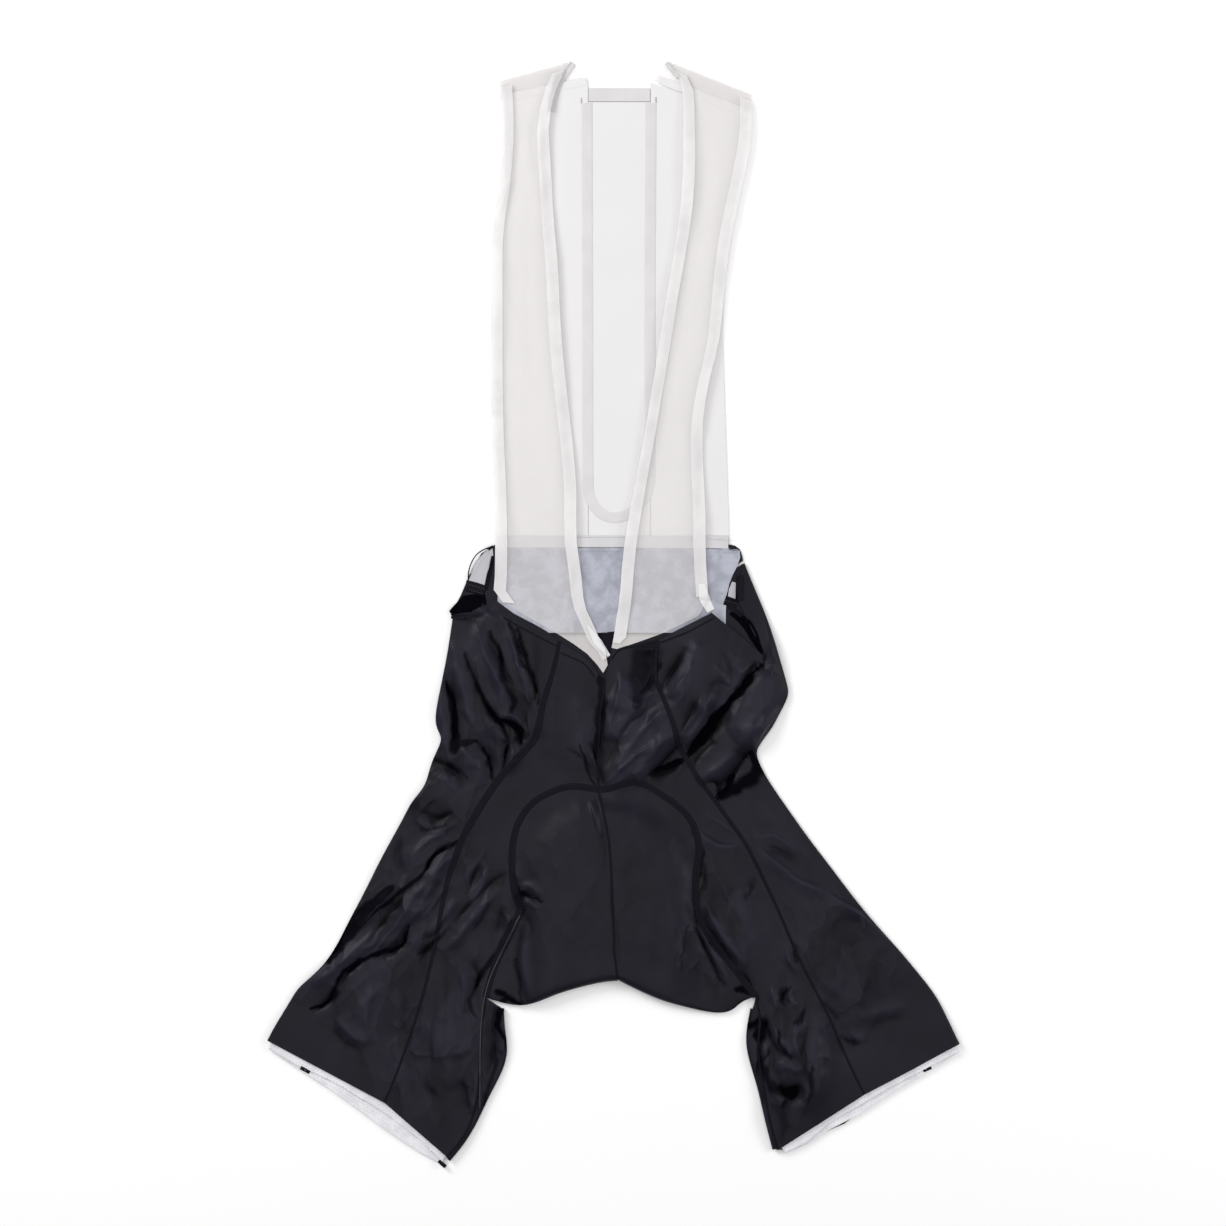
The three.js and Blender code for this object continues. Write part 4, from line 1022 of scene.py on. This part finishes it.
def finish_named(name):
    """A finish, made once."""
    if name not in MADE:
        look = bpy.context.scene.bib_finishes
        makers = {
            "stretch": lambda: stretch_finish(look),
            "strap_mesh": lambda: mesh_finish(look, "strap_mesh", look.strap, 0.2, 0.16),
            "back_mesh": lambda: mesh_finish(look, "back_mesh", look.mesh, 1, 0),
            "binding": lambda: band_finish("binding", look.binding, 1.4 * MM, 0.45),
            "band": lambda: band_finish("band", look.band, 1.4 * MM),
            "lining": lambda: knit_finish("lining", look.lining, 1.3 * MM, 1.2 * MM, 0.8, 0.75),
            "gripper": lambda: knit_finish("gripper", look.gripper, 1.6 * MM, 1.6 * MM, 0.7),
            "silicone": lambda: thread_finish("silicone", (0.86, 0.86, 0.88), 0.3),
            "pad": lambda: knit_finish("pad_cover", look.pad, 1.5 * MM, 1.5 * MM, 0.85),
            "seam": lambda: seam_finish("seam", look.seam),
            "black_tape": lambda: band_finish("black_tape", look.tape, 1.2 * MM, gloss=0.08),
            "black_thread": lambda: thread_finish("black_thread", look.thread, 0.5),
            "piping": lambda: thread_finish("piping", look.piping, 0.5),
            # A grey, shaded copy of the binding: painted shade on its turned side at the shoulders.
            "turned_binding_painted_shade": lambda: band_finish("turned_binding_painted_shade", (0.62, 0.605, 0.61), 1.4 * MM),
            "white_end": lambda: band_finish("white_end", (0.75, 0.74, 0.75), 1.4 * MM),
            "elastic": lambda: band_finish("elastic", (0.46, 0.46, 0.49), 1.4 * MM),
            "waist_band": lambda: band_finish("waist_band", (0.6, 0.59, 0.605), 1.4 * MM),
            # Near-black sheets of painted shade for the deepest hollows.
            "painted_shade": lambda: hollow_finish("painted_shade", look.black_dark_and_shade),
            "grey_thread": lambda: thread_finish("grey_thread", (0.13, 0.125, 0.135), 0.7),
        }
        MADE[name] = makers[name]()
    return MADE[name]


# What each cloth was cut to: width and length in metres, its wall in millimetres, and what it lies on.
CUTS = {
    "front_panel_left": (0.12, 0.45, 1.2, "back_panel_left"),
    "front_panel_right": (0.12, 0.45, 1.2, "back_panel_right"),
    "side_panel_left": (0.20, 0.46, 1.2, "back_panel_left"),
    "side_panel_right": (0.20, 0.46, 1.2, "back_panel_right"),
    "gusset_left": (0.115, 0.215, 1.2, "seat_pad"),
    "gusset_right": (0.115, 0.215, 1.2, "seat_pad"),
    "inner_leg_left": (0.045, 0.15, 1.2, "hem_gripper_left"),
    "inner_leg_right": (0.028, 0.138, 1.2, "hem_gripper_right"),
    "back_panel_left": (0.26, 0.53, 1.2, None),
    "back_panel_right": (0.26, 0.53, 1.2, None),
    "back_mesh_left": (0.08, 0.402, 1.0, None),
    "back_mesh_right": (0.0855, 0.402, 1.0, None),
    "back_mesh_centre": (0.0536, 0.384, 1.0, None),
    "neck_band": (0.0535, 0.0125, 1.6, None),
    "waist_band": (0.202, 0.012, 1.0, "back_panel_left"),
    "waist_lining": (0.212, 0.072, 1.0, "back_panel_left"),
    "waist_elastic_left": (0.0145, 0.04, 1.0, "back_panel_left"),
    "waist_elastic_right": (0.0104, 0.0155, 1.0, "back_panel_right"),
    "strap_left": (0.08, 0.56, 1.0, "back_mesh_left"),
    "strap_right": (0.08, 0.56, 1.0, "back_mesh_right"),
    "outer_binding_left": (0.0112, 0.455, 1.0, "strap_left"),
    "outer_binding_right": (0.0112, 0.44, 1.0, "strap_right"),
    "inner_binding_left": (0.0112, 0.53, 1.0, "strap_left"),
    "inner_binding_right": (0.0112, 0.515, 1.0, "strap_right"),
    "hem_gripper_left": (0.026, 0.348, 1.0, "back_panel_left"),
    "hem_gripper_right": (0.026, 0.337, 1.0, "back_panel_right"),
}


def cloth_name(node):
    """The name of the piece that stands for a node."""
    return node + "_cloth"


def declared(piece, node):
    """Works out a cloth's flat area, its volume over its wall but at most its cut's width times length, and
    keeps nothing.
    """
    wide, long, wall, under = CUTS[node]
    area = min(cloth_volume(frame["nodes"][node]) / (wall * MM), wide * long)


def cloth_volume(piece):
    """The volume that a closed mesh holds."""
    piece.data.calc_loop_triangles()
    co = np.array([v.co for v in piece.data.vertices])
    triangles = np.array([t.vertices for t in piece.data.loop_triangles])
    a, b, c = (co[triangles[:, i]] for i in range(3))
    return abs(np.einsum("ij,ij->i", a, np.cross(b, c)).sum()) / 6


def cloth(node, finish, slot_name, levels, creases=(), patches=(), free=None, floor=0.0):
    """The cloth that stands for a node."""
    piece = cloth_from(node, cloth_name(node), levels)
    if free:
        raise_creases(piece, creases, patches, free, floor)
    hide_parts(node)
    return finished(piece, finish_named(finish))


BLACK_FREE = (1.3 * MM, 3.0 * MM)
BLACK_FLOOR = 1.35 * MM
WHITE_FREE = (1.1 * MM, 2.2 * MM)
WHITE_FLOOR = 1.15 * MM
FRONT_KINDS = ("front_panel", "side_panel", "gusset", "inner_leg")
STRAP_KINDS = ("strap", "outer_binding", "inner_binding")


def cloths_of(*kinds):
    """The pieces that stand for these kinds of node, on both sides."""
    return [bpy.data.objects[cloth_name(f"{kind}_{side}")] for kind in kinds for side in SIDES]


def colour(name, description, *default):
    """A colour that a user may change, as linear light."""
    return FloatVectorProperty(name=name, description=description, subtype="COLOR", default=default)


def length(name, description, default):
    """A length that a user may change."""
    return FloatProperty(name=name, description=description, subtype="DISTANCE", default=default)


class BibFinishes(bpy.types.PropertyGroup):
    """Colours, as linear light."""

    # The stretch cloth runs between deep black and black: a random cloudy tone, painted shade in its folds
    # and hollows, and painted light on the backs of folds and on facets.
    black: colour("Black", "Stretch cloth on the back of a fold", 0.0138, 0.0127, 0.0225)
    black_dark_and_shade: colour("Deep black", "Stretch cloth in a fold", 0.0012, 0.0011, 0.003)
    seam: colour("Seam", "Thread of the flat black seams", 0.0085, 0.0078, 0.0135)
    tape: colour("Tape", "Black tape and edges", 0.007, 0.0065, 0.0105)
    thread: colour("Black thread", "Stitches on the black cloth", 0.012, 0.011, 0.016)
    piping: colour("Piping", "Fine piping down the left leg", 0.022, 0.022, 0.026)
    mesh: colour("Mesh", "White mesh of the bib's back", 0.735, 0.725, 0.728)
    strap: colour("Strap", "White mesh of the straps", 0.92, 0.885, 0.88)
    binding: colour("Binding", "Bindings along the straps", 0.94, 0.92, 0.925)
    band: colour("Band", "White bands at neck and waist", 0.65, 0.635, 0.645)
    lining: colour("Lining", "Grey mesh inside the waist", 0.405, 0.42, 0.485)
    gripper: colour("Gripper", "Hem bands", 0.77, 0.76, 0.80)
    pad: colour("Pad", "Knit cover of the seat pad", 0.06, 0.06, 0.07)


class BibSizes(bpy.types.PropertyGroup):
    """Sizes of the sewing."""

    side_seam: length("Side seam", "Width of the flat seams beside the front", 6.4 * MM)
    arch_seam: length("Arch seam", "Width of the seam round the pad", 5.8 * MM)
    centre_seam: length("Centre seam", "Width of the middle seam", 2.0 * MM)
    seam_thick: length("Seam height", "How far the flat seams stand up", 0.5 * MM)
    dot: length("Grip dot", "Radius of the dots inside the hems", 0.75 * MM)
    camera_height: length("Camera height", "Camera above the floor", 2.6)


class BIB_OT_panels(bpy.types.Operator):
    """Black cloths that face up: front, sides, crotch and inner legs"""

    bl_idname = "bib.panels"
    bl_label = "Front panels"

    def execute(self, context):
        laid = (BLACK_CREASES, BLACK_PATCHES, BLACK_FREE, BLACK_FLOOR)
        for kind in FRONT_KINDS:
            for side in SIDES:
                cloth(f"{kind}_{side}", "stretch", "stretch", 3, *laid)
        return {"FINISHED"}


class BIB_OT_seat(bpy.types.Operator):
    """Back panels, and the pad between them and the crotch"""

    bl_idname = "bib.seat"
    bl_label = "Seat"

    def execute(self, context):
        for side in SIDES:
            cloth(f"back_panel_{side}", "stretch", "stretch", 2)
        pad = cloth("seat_pad", "pad", "pad", 2)
        return {"FINISHED"}


class BIB_OT_bib_back(bpy.types.Operator):
    """White mesh back with its neck band"""

    bl_idname = "bib.bib_back"
    bl_label = "Bib back"

    def execute(self, context):
        for place in ("left", "right", "centre"):
            cloth(f"back_mesh_{place}", "back_mesh", "mesh", 3)
        cloth("neck_band", "band", "binding", 3)
        return {"FINISHED"}


class BIB_OT_waist(bpy.types.Operator):
    """White band, grey lining and elastics inside the waist"""

    bl_idname = "bib.waist"
    bl_label = "Waist"

    def execute(self, context):
        cloth("waist_band", "waist_band", "binding", 3)
        cloth("waist_lining", "lining", "lining", 3)
        for side in SIDES:
            cloth(f"waist_elastic_{side}", "elastic", "binding", 3)
        return {"FINISHED"}


class BIB_OT_straps(bpy.types.Operator):
    """Front straps with a binding along each edge"""

    bl_idname = "bib.straps"
    bl_label = "Straps"

    def execute(self, context):
        for side in SIDES:
            laid = (STRAP_CREASES, WHITE_PATCHES, WHITE_FREE, WHITE_FLOOR)
            cloth(f"strap_{side}", "strap_mesh", "mesh", 3, *laid)
            for edge in ("outer", "inner"):
                cloth(f"{edge}_binding_{side}", "binding", "binding", 3, *laid)
        return {"FINISHED"}


class BIB_OT_grippers(bpy.types.Operator):
    """Elastic bands round the inside of the hems"""

    bl_idname = "bib.grippers"
    bl_label = "Hem grippers"

    def execute(self, context):
        for side in SIDES:
            cloth(f"hem_gripper_{side}", "gripper", "gripper", 3)
        return {"FINISHED"}


def bib_cloths():
    """The white and grey cloths of the bib's back and waist."""
    singles = ("back_mesh_centre", "neck_band", "waist_band", "waist_lining")
    return cloths_of("back_mesh", "waist_elastic") + [bpy.data.objects[cloth_name(name)] for name in singles]


def photo_line(*points):
    """A line through photo pixels."""
    return smooth_line([from_photo(*point) for point in points], 8)


# The band over the seams of the bib's back, down one side, round and up the other.
BACK_BAND = (
    (587, 103), (587.5, 300), (588, 480), (591, 500), (600, 514), (613, 519),
    (628, 515), (641, 505), (648, 488), (650, 470), (650, 300), (651, 103),
)


class BIB_OT_bib_sewing(bpy.types.Operator):
    """Band over the back's seams, bar tacks at the neck, edge and stitches of the waist band"""

    bl_idname = "bib.bib_sewing"
    bl_label = "Bib sewing"

    def execute(self, context):
        surface = surface_of(bib_cloths())
        low = -0.15 * MM
        band = strip("back_seam_band", photo_line(*BACK_BAND), 9.4 * MM, 0.45 * MM, surface, low, step=3 * MM)
        finished(band, finish_named("band"))
        bands = table(
            "name points wide finish",
            ("waist_join", ((498, 549.5), (603, 549.5), (738, 550.5)), 3.6 * MM, "lining"),
            ("waist_edge_middle", ((575, 547.5), (603, 547.7), (633, 547.5)), 0.7 * MM, "grey_thread"),
            ("waist_edge_right", ((706, 548.5), (722, 549), (738, 551)), 0.7 * MM, "grey_thread"),
            ("shoulder_seam_left", ((504, 98.5), (545, 90), (587, 81.5)), 7 * MM, "back_mesh"),
            ("shoulder_seam_right", ((659, 80), (700, 95.5), (742, 111.5)), 7 * MM, "back_mesh"),
        )
        for row in bands:
            line = photo_line(*row.points)
            piece = strip(row.name, line, row.wide, 0.3 * MM, surface, low, otherwise=1 * MM)
            finished(piece, finish_named(row.finish))
        tacks = []
        for x, y in ((581.5, 101), (656, 100)):
            for step in range(4):
                tacks.append((*from_photo(x, y - 2 + 1.4 * step), 0.2, 1.8 * MM))
        piece = threads("neck_tacks", tacks, 0.3 * MM, surface)
        finished(piece, finish_named("grey_thread"))
        # The turned bindings are grey with painted shade where the straps fold over at the shoulders.
        folds = table(
            "name points wide thick otherwise finish",
            (
                "turned_binding_left", ((573, 63), (563, 78), (556, 94), (552, 112)),
                (5 * MM, 5 * MM), 0.4 * MM, 1.3 * MM, "turned_binding_painted_shade",
            ),
            (
                "turned_binding_right", ((666, 63), (672, 70), (678, 78)),
                (4 * MM, 3 * MM), 0.4 * MM, 1.3 * MM, "turned_binding_painted_shade",
            ),
            (
                "binding_end_left", ((588, 626), (597, 641), (609, 656)),
                (2 * MM, 7 * MM, 3 * MM), 0.35 * MM, 3 * MM, "white_end",
            ),
            (
                "binding_end_right", ((701.5, 584), (704, 598), (711, 611)),
                (6 * MM, 9 * MM, 7 * MM), 0.35 * MM, 3 * MM, "white_end",
            ),
        )
        top = surface_of(cloths_of(*STRAP_KINDS))
        for fold in folds:
            line = photo_line(*fold.points)
            piece = strip(fold.name, line, fold.wide, fold.thick, top, low, otherwise=fold.otherwise)
            finished(piece, finish_named(fold.finish))
        spots = []
        for ends in (((578, 537.5), (632, 537.5)), ((708, 539), (738, 541))):
            spots += stitch_spots(photo_line(*ends), 2.6 * MM, 1.6 * MM)
        piece = threads("waist_stitches", spots, 0.2 * MM, surface, 0.1 * MM)
        finished(piece, finish_named("grey_thread"))
        return {"FINISHED"}


# Lines at the waist's sides that take more than three photo pixels, and widths that change more than once.
RIM_LEFT = ((468.5, 582), (468.5, 573), (471, 564), (478, 553), (493, 546))
# The right one is a strip of painted shade in the hollow under the flap.
HOLLOW_RIGHT = ((730, 613), (745, 622), (754, 637), (761, 653))
HOLLOW_RIGHT_WIDE = (3 * MM, 9 * MM, 8 * MM, 2 * MM)


class BIB_OT_waist_sides(bpy.types.Operator):
    """Where the front is sewn to the back at the waist's sides: tapes, patches, bar tacks, and dark strips of
    painted shade in its hollows
    """

    bl_idname = "bib.waist_sides"
    bl_label = "Waist sides"

    def execute(self, context):
        surface = surface_of(bib_cloths() + cloths_of("back_panel", "side_panel"))
        tapes_and_shade_strips = table(
            "name points wide thick finish",
            (
                "elastic_fill_left", ((489, 550.5), (479, 561), (472, 574)),
                (3 * MM, 4.4 * MM), 0.3 * MM, "elastic",
            ),
            ("waist_rim_left", RIM_LEFT, 1.0 * MM, 0.5 * MM, "black_tape"),
            ("elastic_edge_left", ((489.5, 557), (486, 572), (481.5, 589)), 2 * MM, 0.4 * MM, "elastic"),
            ("waist_tape_left", ((493.5, 556), (490, 572), (486, 590)), 3.4 * MM, 0.5 * MM, "black_tape"),
            ("waist_patch_left", ((466, 585.5), (475, 587.5), (485, 591)), 9.5 * MM, 0.8 * MM, "black_tape"),
            # The next four are dark strips of painted shade in the waist's hollows.
            (
                "waist_hollow_left", ((450.5, 613), (459, 608), (468, 603.5)),
                (4 * MM, 16 * MM), 0.4 * MM, "painted_shade",
            ),
            (
                "waist_hollow_inner", ((466, 604), (476, 601), (486, 599)),
                (15 * MM, 10 * MM), 0.5 * MM, "painted_shade",
            ),
            (
                "waist_hollow_middle", ((607, 632), (608, 643), (609, 656)),
                (16 * MM, 1.5 * MM), 0.3 * MM, "black_tape",
            ),
            ("waist_hollow_right", HOLLOW_RIGHT, HOLLOW_RIGHT_WIDE, 0.4 * MM, "painted_shade"),
            ("waist_cover_right", ((740, 576), (739.5, 588), (739, 601)), 7 * MM, 0.9 * MM, "black_tape"),
            ("waist_fold_left", ((451.5, 616), (457, 617.5), (466, 617)), 4.6 * MM, 0.7 * MM, "black_tape"),
            ("waist_patch_right", ((724.5, 600), (730, 602), (737, 604)), 8 * MM, 0.7 * MM, "black_tape"),
            ("waist_tape_right", ((728, 606), (735, 610), (742, 616)), 4 * MM, 0.5 * MM, "black_tape"),
        )
        for tape in tapes_and_shade_strips:
            piece = strip(tape.name, photo_line(*tape.points), tape.wide, tape.thick, surface, -0.1 * MM)
            finished(piece, finish_named(tape.finish))
        dashes = []
        for low, high in (((468, 584), (484, 589)), ((467, 589), (482, 593.5)), ((726, 600.5), (736, 603.5))):
            dashes += stitch_spots(photo_line(low, high), 2.1 * MM, 1.5 * MM, 0, 0.5)
        piece = threads("waist_tacks", dashes, 0.22 * MM, surface, 0.8 * MM)
        finished(piece, finish_named("grey_thread"))
        return {"FINISHED"}


DOT_PITCH = 3.2 * MM


class BIB_OT_hems(bpy.types.Operator):
    """Grip dots on the hem bands that show, and the ends of their tapes"""

    bl_idname = "bib.hems"
    bl_label = "Hems"

    def execute(self, context):
        sizes = context.scene.bib_sizes
        grippers, fronts = cloths_of("hem_gripper"), cloths_of(*FRONT_KINDS)
        surface, covers = surface_of(grippers), surface_of(fronts)
        reach = 2 * sizes.dot
        hems = table(
            "side points",
            ("left", ((262, 1042), (320, 1078), (382, 1120), (452, 1168))),
            ("right", ((768, 1152), (830, 1130), (900, 1094), (964, 1046))),
        )
        for hem in hems:
            spots = []
            across = 1 if hem.side == "left" else -1
            for row in range(-8, 9):
                offset = row * DOT_PITCH * 0.87
                line = stitch_spots(photo_line(*hem.points), DOT_PITCH, 2 * sizes.dot, offset * across)
                shift = 0.5 * DOT_PITCH * (row % 2)
                for x, y, turn, length in line:
                    x, y = x + shift * math.cos(turn), y + shift * math.sin(turn)
                    top = height_on(surface, x, y, 0)
                    rim = [height_on(surface, x + reach * a, y + reach * b, 0) for a, b in ROUND]
                    if min([top, *rim]) > 1 * MM and height_on(covers, x, y, 0) < top:
                        spots.append((x, y, turn, length))
            piece = threads(f"grip_dots_{hem.side}", spots, sizes.dot, surface, -0.35 * MM)
            finished(piece, finish_named("silicone"))
        surface = surface_of(grippers + fronts)
        tabs = table(
            "name points wide",
            ("tape_end_left", ((301, 1067), (305, 1069), (310, 1072)), 3.4 * MM),
            ("tape_end_right", ((923, 1070.5), (927, 1069), (931, 1067)), 2.6 * MM),
            ("tape_end_inseam", ((439, 1160), (442, 1163), (446, 1166)), 3.4 * MM),
        )
        for tab in tabs:
            line = photo_line(*tab.points)
            piece = strip(tab.name, line, tab.wide, 0.5 * MM, surface, -0.1 * MM, columns=3)
            finished(piece, finish_named("black_tape"))
        return {"FINISHED"}


# The front's top edge, in stretches, and how far in from it its two rows of stitches lie.
TOP_EDGE = (
    ((506, 613), (531, 627), (560, 642)),
    ((562, 648), (587, 659), (599, 674)),
    ((608, 656), (616, 646), (633, 642), (655, 643)),
    ((658, 638), (686, 627), (712, 613)),
)
TOP_ROWS = (-2.6 * MM, -5.4 * MM)
HEM_ROW = -4.6 * MM
HEM_WIDE = 1.6 * MM
STITCH = 2.4 * MM


# Where the seams begin: a place in metres near the end that each line is walked from.
SEAM_STARTS = {
    "centre": (-0.007, -0.059),
    "gusset": (-0.013, -0.155),
    "side_left": (-0.047, -0.026),
    "side_right": (0.038, -0.025),
    "inseam_left": (-0.111, -0.336),
    "inseam_right": (0.124, -0.335),
}


# How wide each side seam is from its top down, as shares of its full width, and where the front begins.
SIDE_SEAM_SHARES = {"left": (0.5, 1.0, 1.0, 0.6, 0.35, 0.3), "right": (0.45, 0.75, 0.55, 0.4, 0.35, 0.3)}
FRONT_TOP = -58 * MM


class BIB_OT_seams(bpy.types.Operator):
    """Flat seams of the black cloths"""

    bl_idname = "bib.seams"
    bl_label = "Seams"

    def execute(self, context):
        sizes = context.scene.bib_sizes
        surface = surface_of(cloths_of(*FRONT_KINDS))

        def seam(name, line, wide, thick):
            piece = strip(name, line, wide, thick, surface, -0.2 * MM)
            finished(piece, finish_named("seam"))

        for side in SIDES:
            front, gusset = f"front_panel_{side}", f"gusset_{side}"
            line = seam_between(f"side_panel_{side}", front, SEAM_STARTS[f"side_{side}"])
            wide = sizes.side_seam * np.array(SIDE_SEAM_SHARES[side])
            seam(f"side_seam_{side}", line, tuple(wide), sizes.seam_thick)
            line = seam_between(front, gusset, SEAM_STARTS["gusset"])
            seam(f"arch_seam_{side}", line, sizes.arch_seam, sizes.seam_thick)
            line = seam_between(front, f"inner_leg_{side}", SEAM_STARTS[f"inseam_{side}"])
            seam(f"inseam_{side}", line, sizes.centre_seam, sizes.seam_thick)
        line = seam_between("front_panel_left", "front_panel_right", SEAM_STARTS["centre"])
        line = line[line[:, 1] < FRONT_TOP]
        seam("centre_seam_upper", line, sizes.centre_seam, sizes.seam_thick)
        line = seam_between("gusset_left", "gusset_right", SEAM_STARTS["gusset"])
        seam("centre_seam_lower", line, sizes.centre_seam, sizes.seam_thick)

        for count, edge in enumerate(TOP_EDGE):
            line = evenly(photo_line(*edge), 2 * MM)
            line = line + sideways(line) * HEM_ROW
            seam(f"top_hem_{count}", line, HEM_WIDE, 0.35 * MM)
        rows = []
        for edge in TOP_EDGE:
            for offset in TOP_ROWS:
                rows += stitch_spots(photo_line(*edge), STITCH, 0.7 * STITCH, offset)
        piece = threads("top_stitches", rows, 0.22 * MM, surface, 0.05 * MM)
        finished(piece, finish_named("black_thread"))
        rows = []
        for side in SIDES:
            line = seam_between(f"side_panel_{side}", f"front_panel_{side}", SEAM_STARTS[f"side_{side}"])
            for share in (-0.56, 0.56):
                rows += stitch_spots(line, STITCH, 0.7 * STITCH, share * sizes.side_seam)
            line = seam_between(f"front_panel_{side}", f"gusset_{side}", SEAM_STARTS["gusset"])
            rows += stitch_spots(line, STITCH, 0.7 * STITCH, 0.6 * sizes.arch_seam)
            rows += stitch_spots(line, STITCH, 0.7 * STITCH, -0.6 * sizes.arch_seam)
        piece = threads("seam_stitches", rows, 0.2 * MM, surface, 0.05 * MM)
        finished(piece, finish_named("black_thread"))
        piping = photo_line((520, 915), (501, 953), (487, 987), (481, 1029), (480, 1107))
        piece = strip("inseam_piping", piping, 0.8 * MM, 0.5 * MM, surface, -0.1 * MM, step=2 * MM, columns=2)
        finished(piece, finish_named("piping"))
        return {"FINISHED"}


# Seams of the back: lines in photo pixels, seen through the front. The side seams lie where the back meets
# the side panels.
BACK_SIDE_LEFT = (
    (497, 642), (490, 710), (488, 772), (475, 830),
    (444, 890), (395, 950), (352, 1003), (331, 1054),
)
BACK_SIDE_RIGHT = (
    (715, 635), (726, 695), (735, 738), (722, 774), (716, 806),
    (741, 845), (784, 890), (845, 950), (880, 1010), (897, 1052),
)
BACK_SEAMS = table(
    "name points wide finish",
    ("back_side_seam_left", BACK_SIDE_LEFT, 5 * MM, "seam"),
    ("back_side_seam_right", BACK_SIDE_RIGHT, 5 * MM, "seam"),
    ("back_waist_seam", ((487, 556), (610, 552), (735, 558)), 4 * MM, "seam"),
    ("back_hem_left", ((288, 1023), (334, 1052), (394, 1092), (452, 1130)), 3 * MM, "seam"),
    ("back_hem_right", ((778, 1119), (824, 1102), (890, 1068), (938, 1032)), 3 * MM, "seam"),
    ("back_band_under", BACK_BAND, 6 * MM, "band"),
)
BACK_CENTRE = (-0.004, 0.048)


class BIB_OT_back_seams(bpy.types.Operator):
    """Flat seams on the underside"""

    bl_idname = "bib.back_seams"
    bl_label = "Back seams"

    def execute(self, context):
        for row in BACK_SEAMS:
            piece = strip(row.name, photo_line(*row.points), row.wide, 0.32 * MM, None, step=3 * MM)
            finished(piece, finish_named(row.finish))
        line = seam_between("back_panel_left", "back_panel_right", BACK_CENTRE)
        piece = strip("back_centre_seam", line, 5 * MM, 0.32 * MM, None, step=3 * MM)
        finished(piece, finish_named("seam"))
        return {"FINISHED"}


class BIB_OT_sheets(bpy.types.Operator):
    """Works out each cloth's flat area from its cut, and keeps nothing"""

    bl_idname = "bib.sheets"
    bl_label = "Cuts"

    def execute(self, context):
        for node in CUTS:
            declared(bpy.data.objects[cloth_name(node)], node)
        return {"FINISHED"}


FLOOR_HEIGHT = -0.4 * MM
PHOTO_SIZE = 1226
SENSOR = 36


class BIB_OT_studio(bpy.types.Operator):
    """Pale floor, soft lights and the camera straight above"""

    bl_idname = "bib.studio"
    bl_label = "Studio"

    def execute(self, context):
        sizes = context.scene.bib_sizes
        pick_none()
        place = (0, 0, FLOOR_HEIGHT)
        bpy.ops.mesh.primitive_grid_add(x_subdivisions=8, y_subdivisions=8, size=6, location=place)
        floor = context.object
        floor.name = "floor"
        paper = Finish("floor_paper")
        grain = paper.noise(3, 2)
        colour = paper.colour(grain, (0.94, 0.94, 0.94), (0.95, 0.95, 0.95))
        floor.data.materials.append(paper.close({"Base Color": colour, "Roughness": 0.9}))

        world = bpy.data.worlds.new("studio")
        context.scene.world = world
        world.use_nodes = True
        world.node_tree.nodes["Background"].inputs["Color"].default_value = (1, 1, 1, 1)
        world.node_tree.nodes["Background"].inputs["Strength"].default_value = 0.28
        lights = table(
            "x y z size power",
            (-0.2, 0.0, 3.0, 3.4, 52),
            (-1.5, 1.1, 1.3, 0.9, 30),
            (1.7, 0.1, 1.1, 0.8, 12),
        )
        for count, light in enumerate(lights):
            bpy.ops.object.light_add(type="AREA", location=(light.x, light.y, light.z))
            lamp = context.object
            lamp.name = f"softbox_{count}"
            lamp.data.size = light.size
            lamp.data.energy = light.power
            aim = Vector((0, 0, 0)) - lamp.location
            lamp.rotation_euler = aim.to_track_quat("-Z", "Y").to_euler()

        pick_none()
        height = sizes.camera_height
        middle = from_photo(PHOTO_SIZE / 2, PHOTO_SIZE / 2)
        bpy.ops.object.camera_add(location=(middle[0], middle[1], height), rotation=(0, 0, 0))
        camera = context.object
        camera.name = "camera"
        camera.data.sensor_fit = "HORIZONTAL"
        camera.data.sensor_width = SENSOR
        camera.data.lens = SENSOR * height / (PHOTO_SIZE * PIXEL)
        camera.data.clip_end = 20
        context.scene.camera = camera
        context.scene.view_settings.view_transform = "Standard"
        return {"FINISHED"}


class BIB_PT_panel(bpy.types.Panel):
    """Lists the steps in the sidebar"""

    bl_idname = "BIB_PT_panel"
    bl_label = "Bib Shorts"
    bl_space_type = "VIEW_3D"
    bl_region_type = "UI"
    bl_category = "Bib Shorts"

    def draw(self, context):
        for step in STEPS:
            self.layout.operator(step.bl_idname)
        for group in (context.scene.bib_sizes, context.scene.bib_finishes):
            for name in group.__annotations__:
                self.layout.prop(group, name)


STEPS = (
    BIB_OT_panels,
    BIB_OT_seat,
    BIB_OT_bib_back,
    BIB_OT_waist,
    BIB_OT_straps,
    BIB_OT_grippers,
    BIB_OT_seams,
    BIB_OT_bib_sewing,
    BIB_OT_waist_sides,
    BIB_OT_hems,
    BIB_OT_back_seams,
    BIB_OT_sheets,
    BIB_OT_studio,
)
CLASSES = (BibFinishes, BibSizes, *STEPS, BIB_PT_panel)


def register():
    for kind in CLASSES:
        bpy.utils.register_class(kind)
    bpy.types.Scene.bib_finishes = PointerProperty(type=BibFinishes)
    bpy.types.Scene.bib_sizes = PointerProperty(type=BibSizes)


def unregister():
    del bpy.types.Scene.bib_sizes
    del bpy.types.Scene.bib_finishes
    for kind in reversed(CLASSES):
        bpy.utils.unregister_class(kind)


def main():
    register()
    for step in STEPS:
        group, name = step.bl_idname.split(".")
        getattr(getattr(bpy.ops, group), name)()


if __name__ == "__main__":
    main()
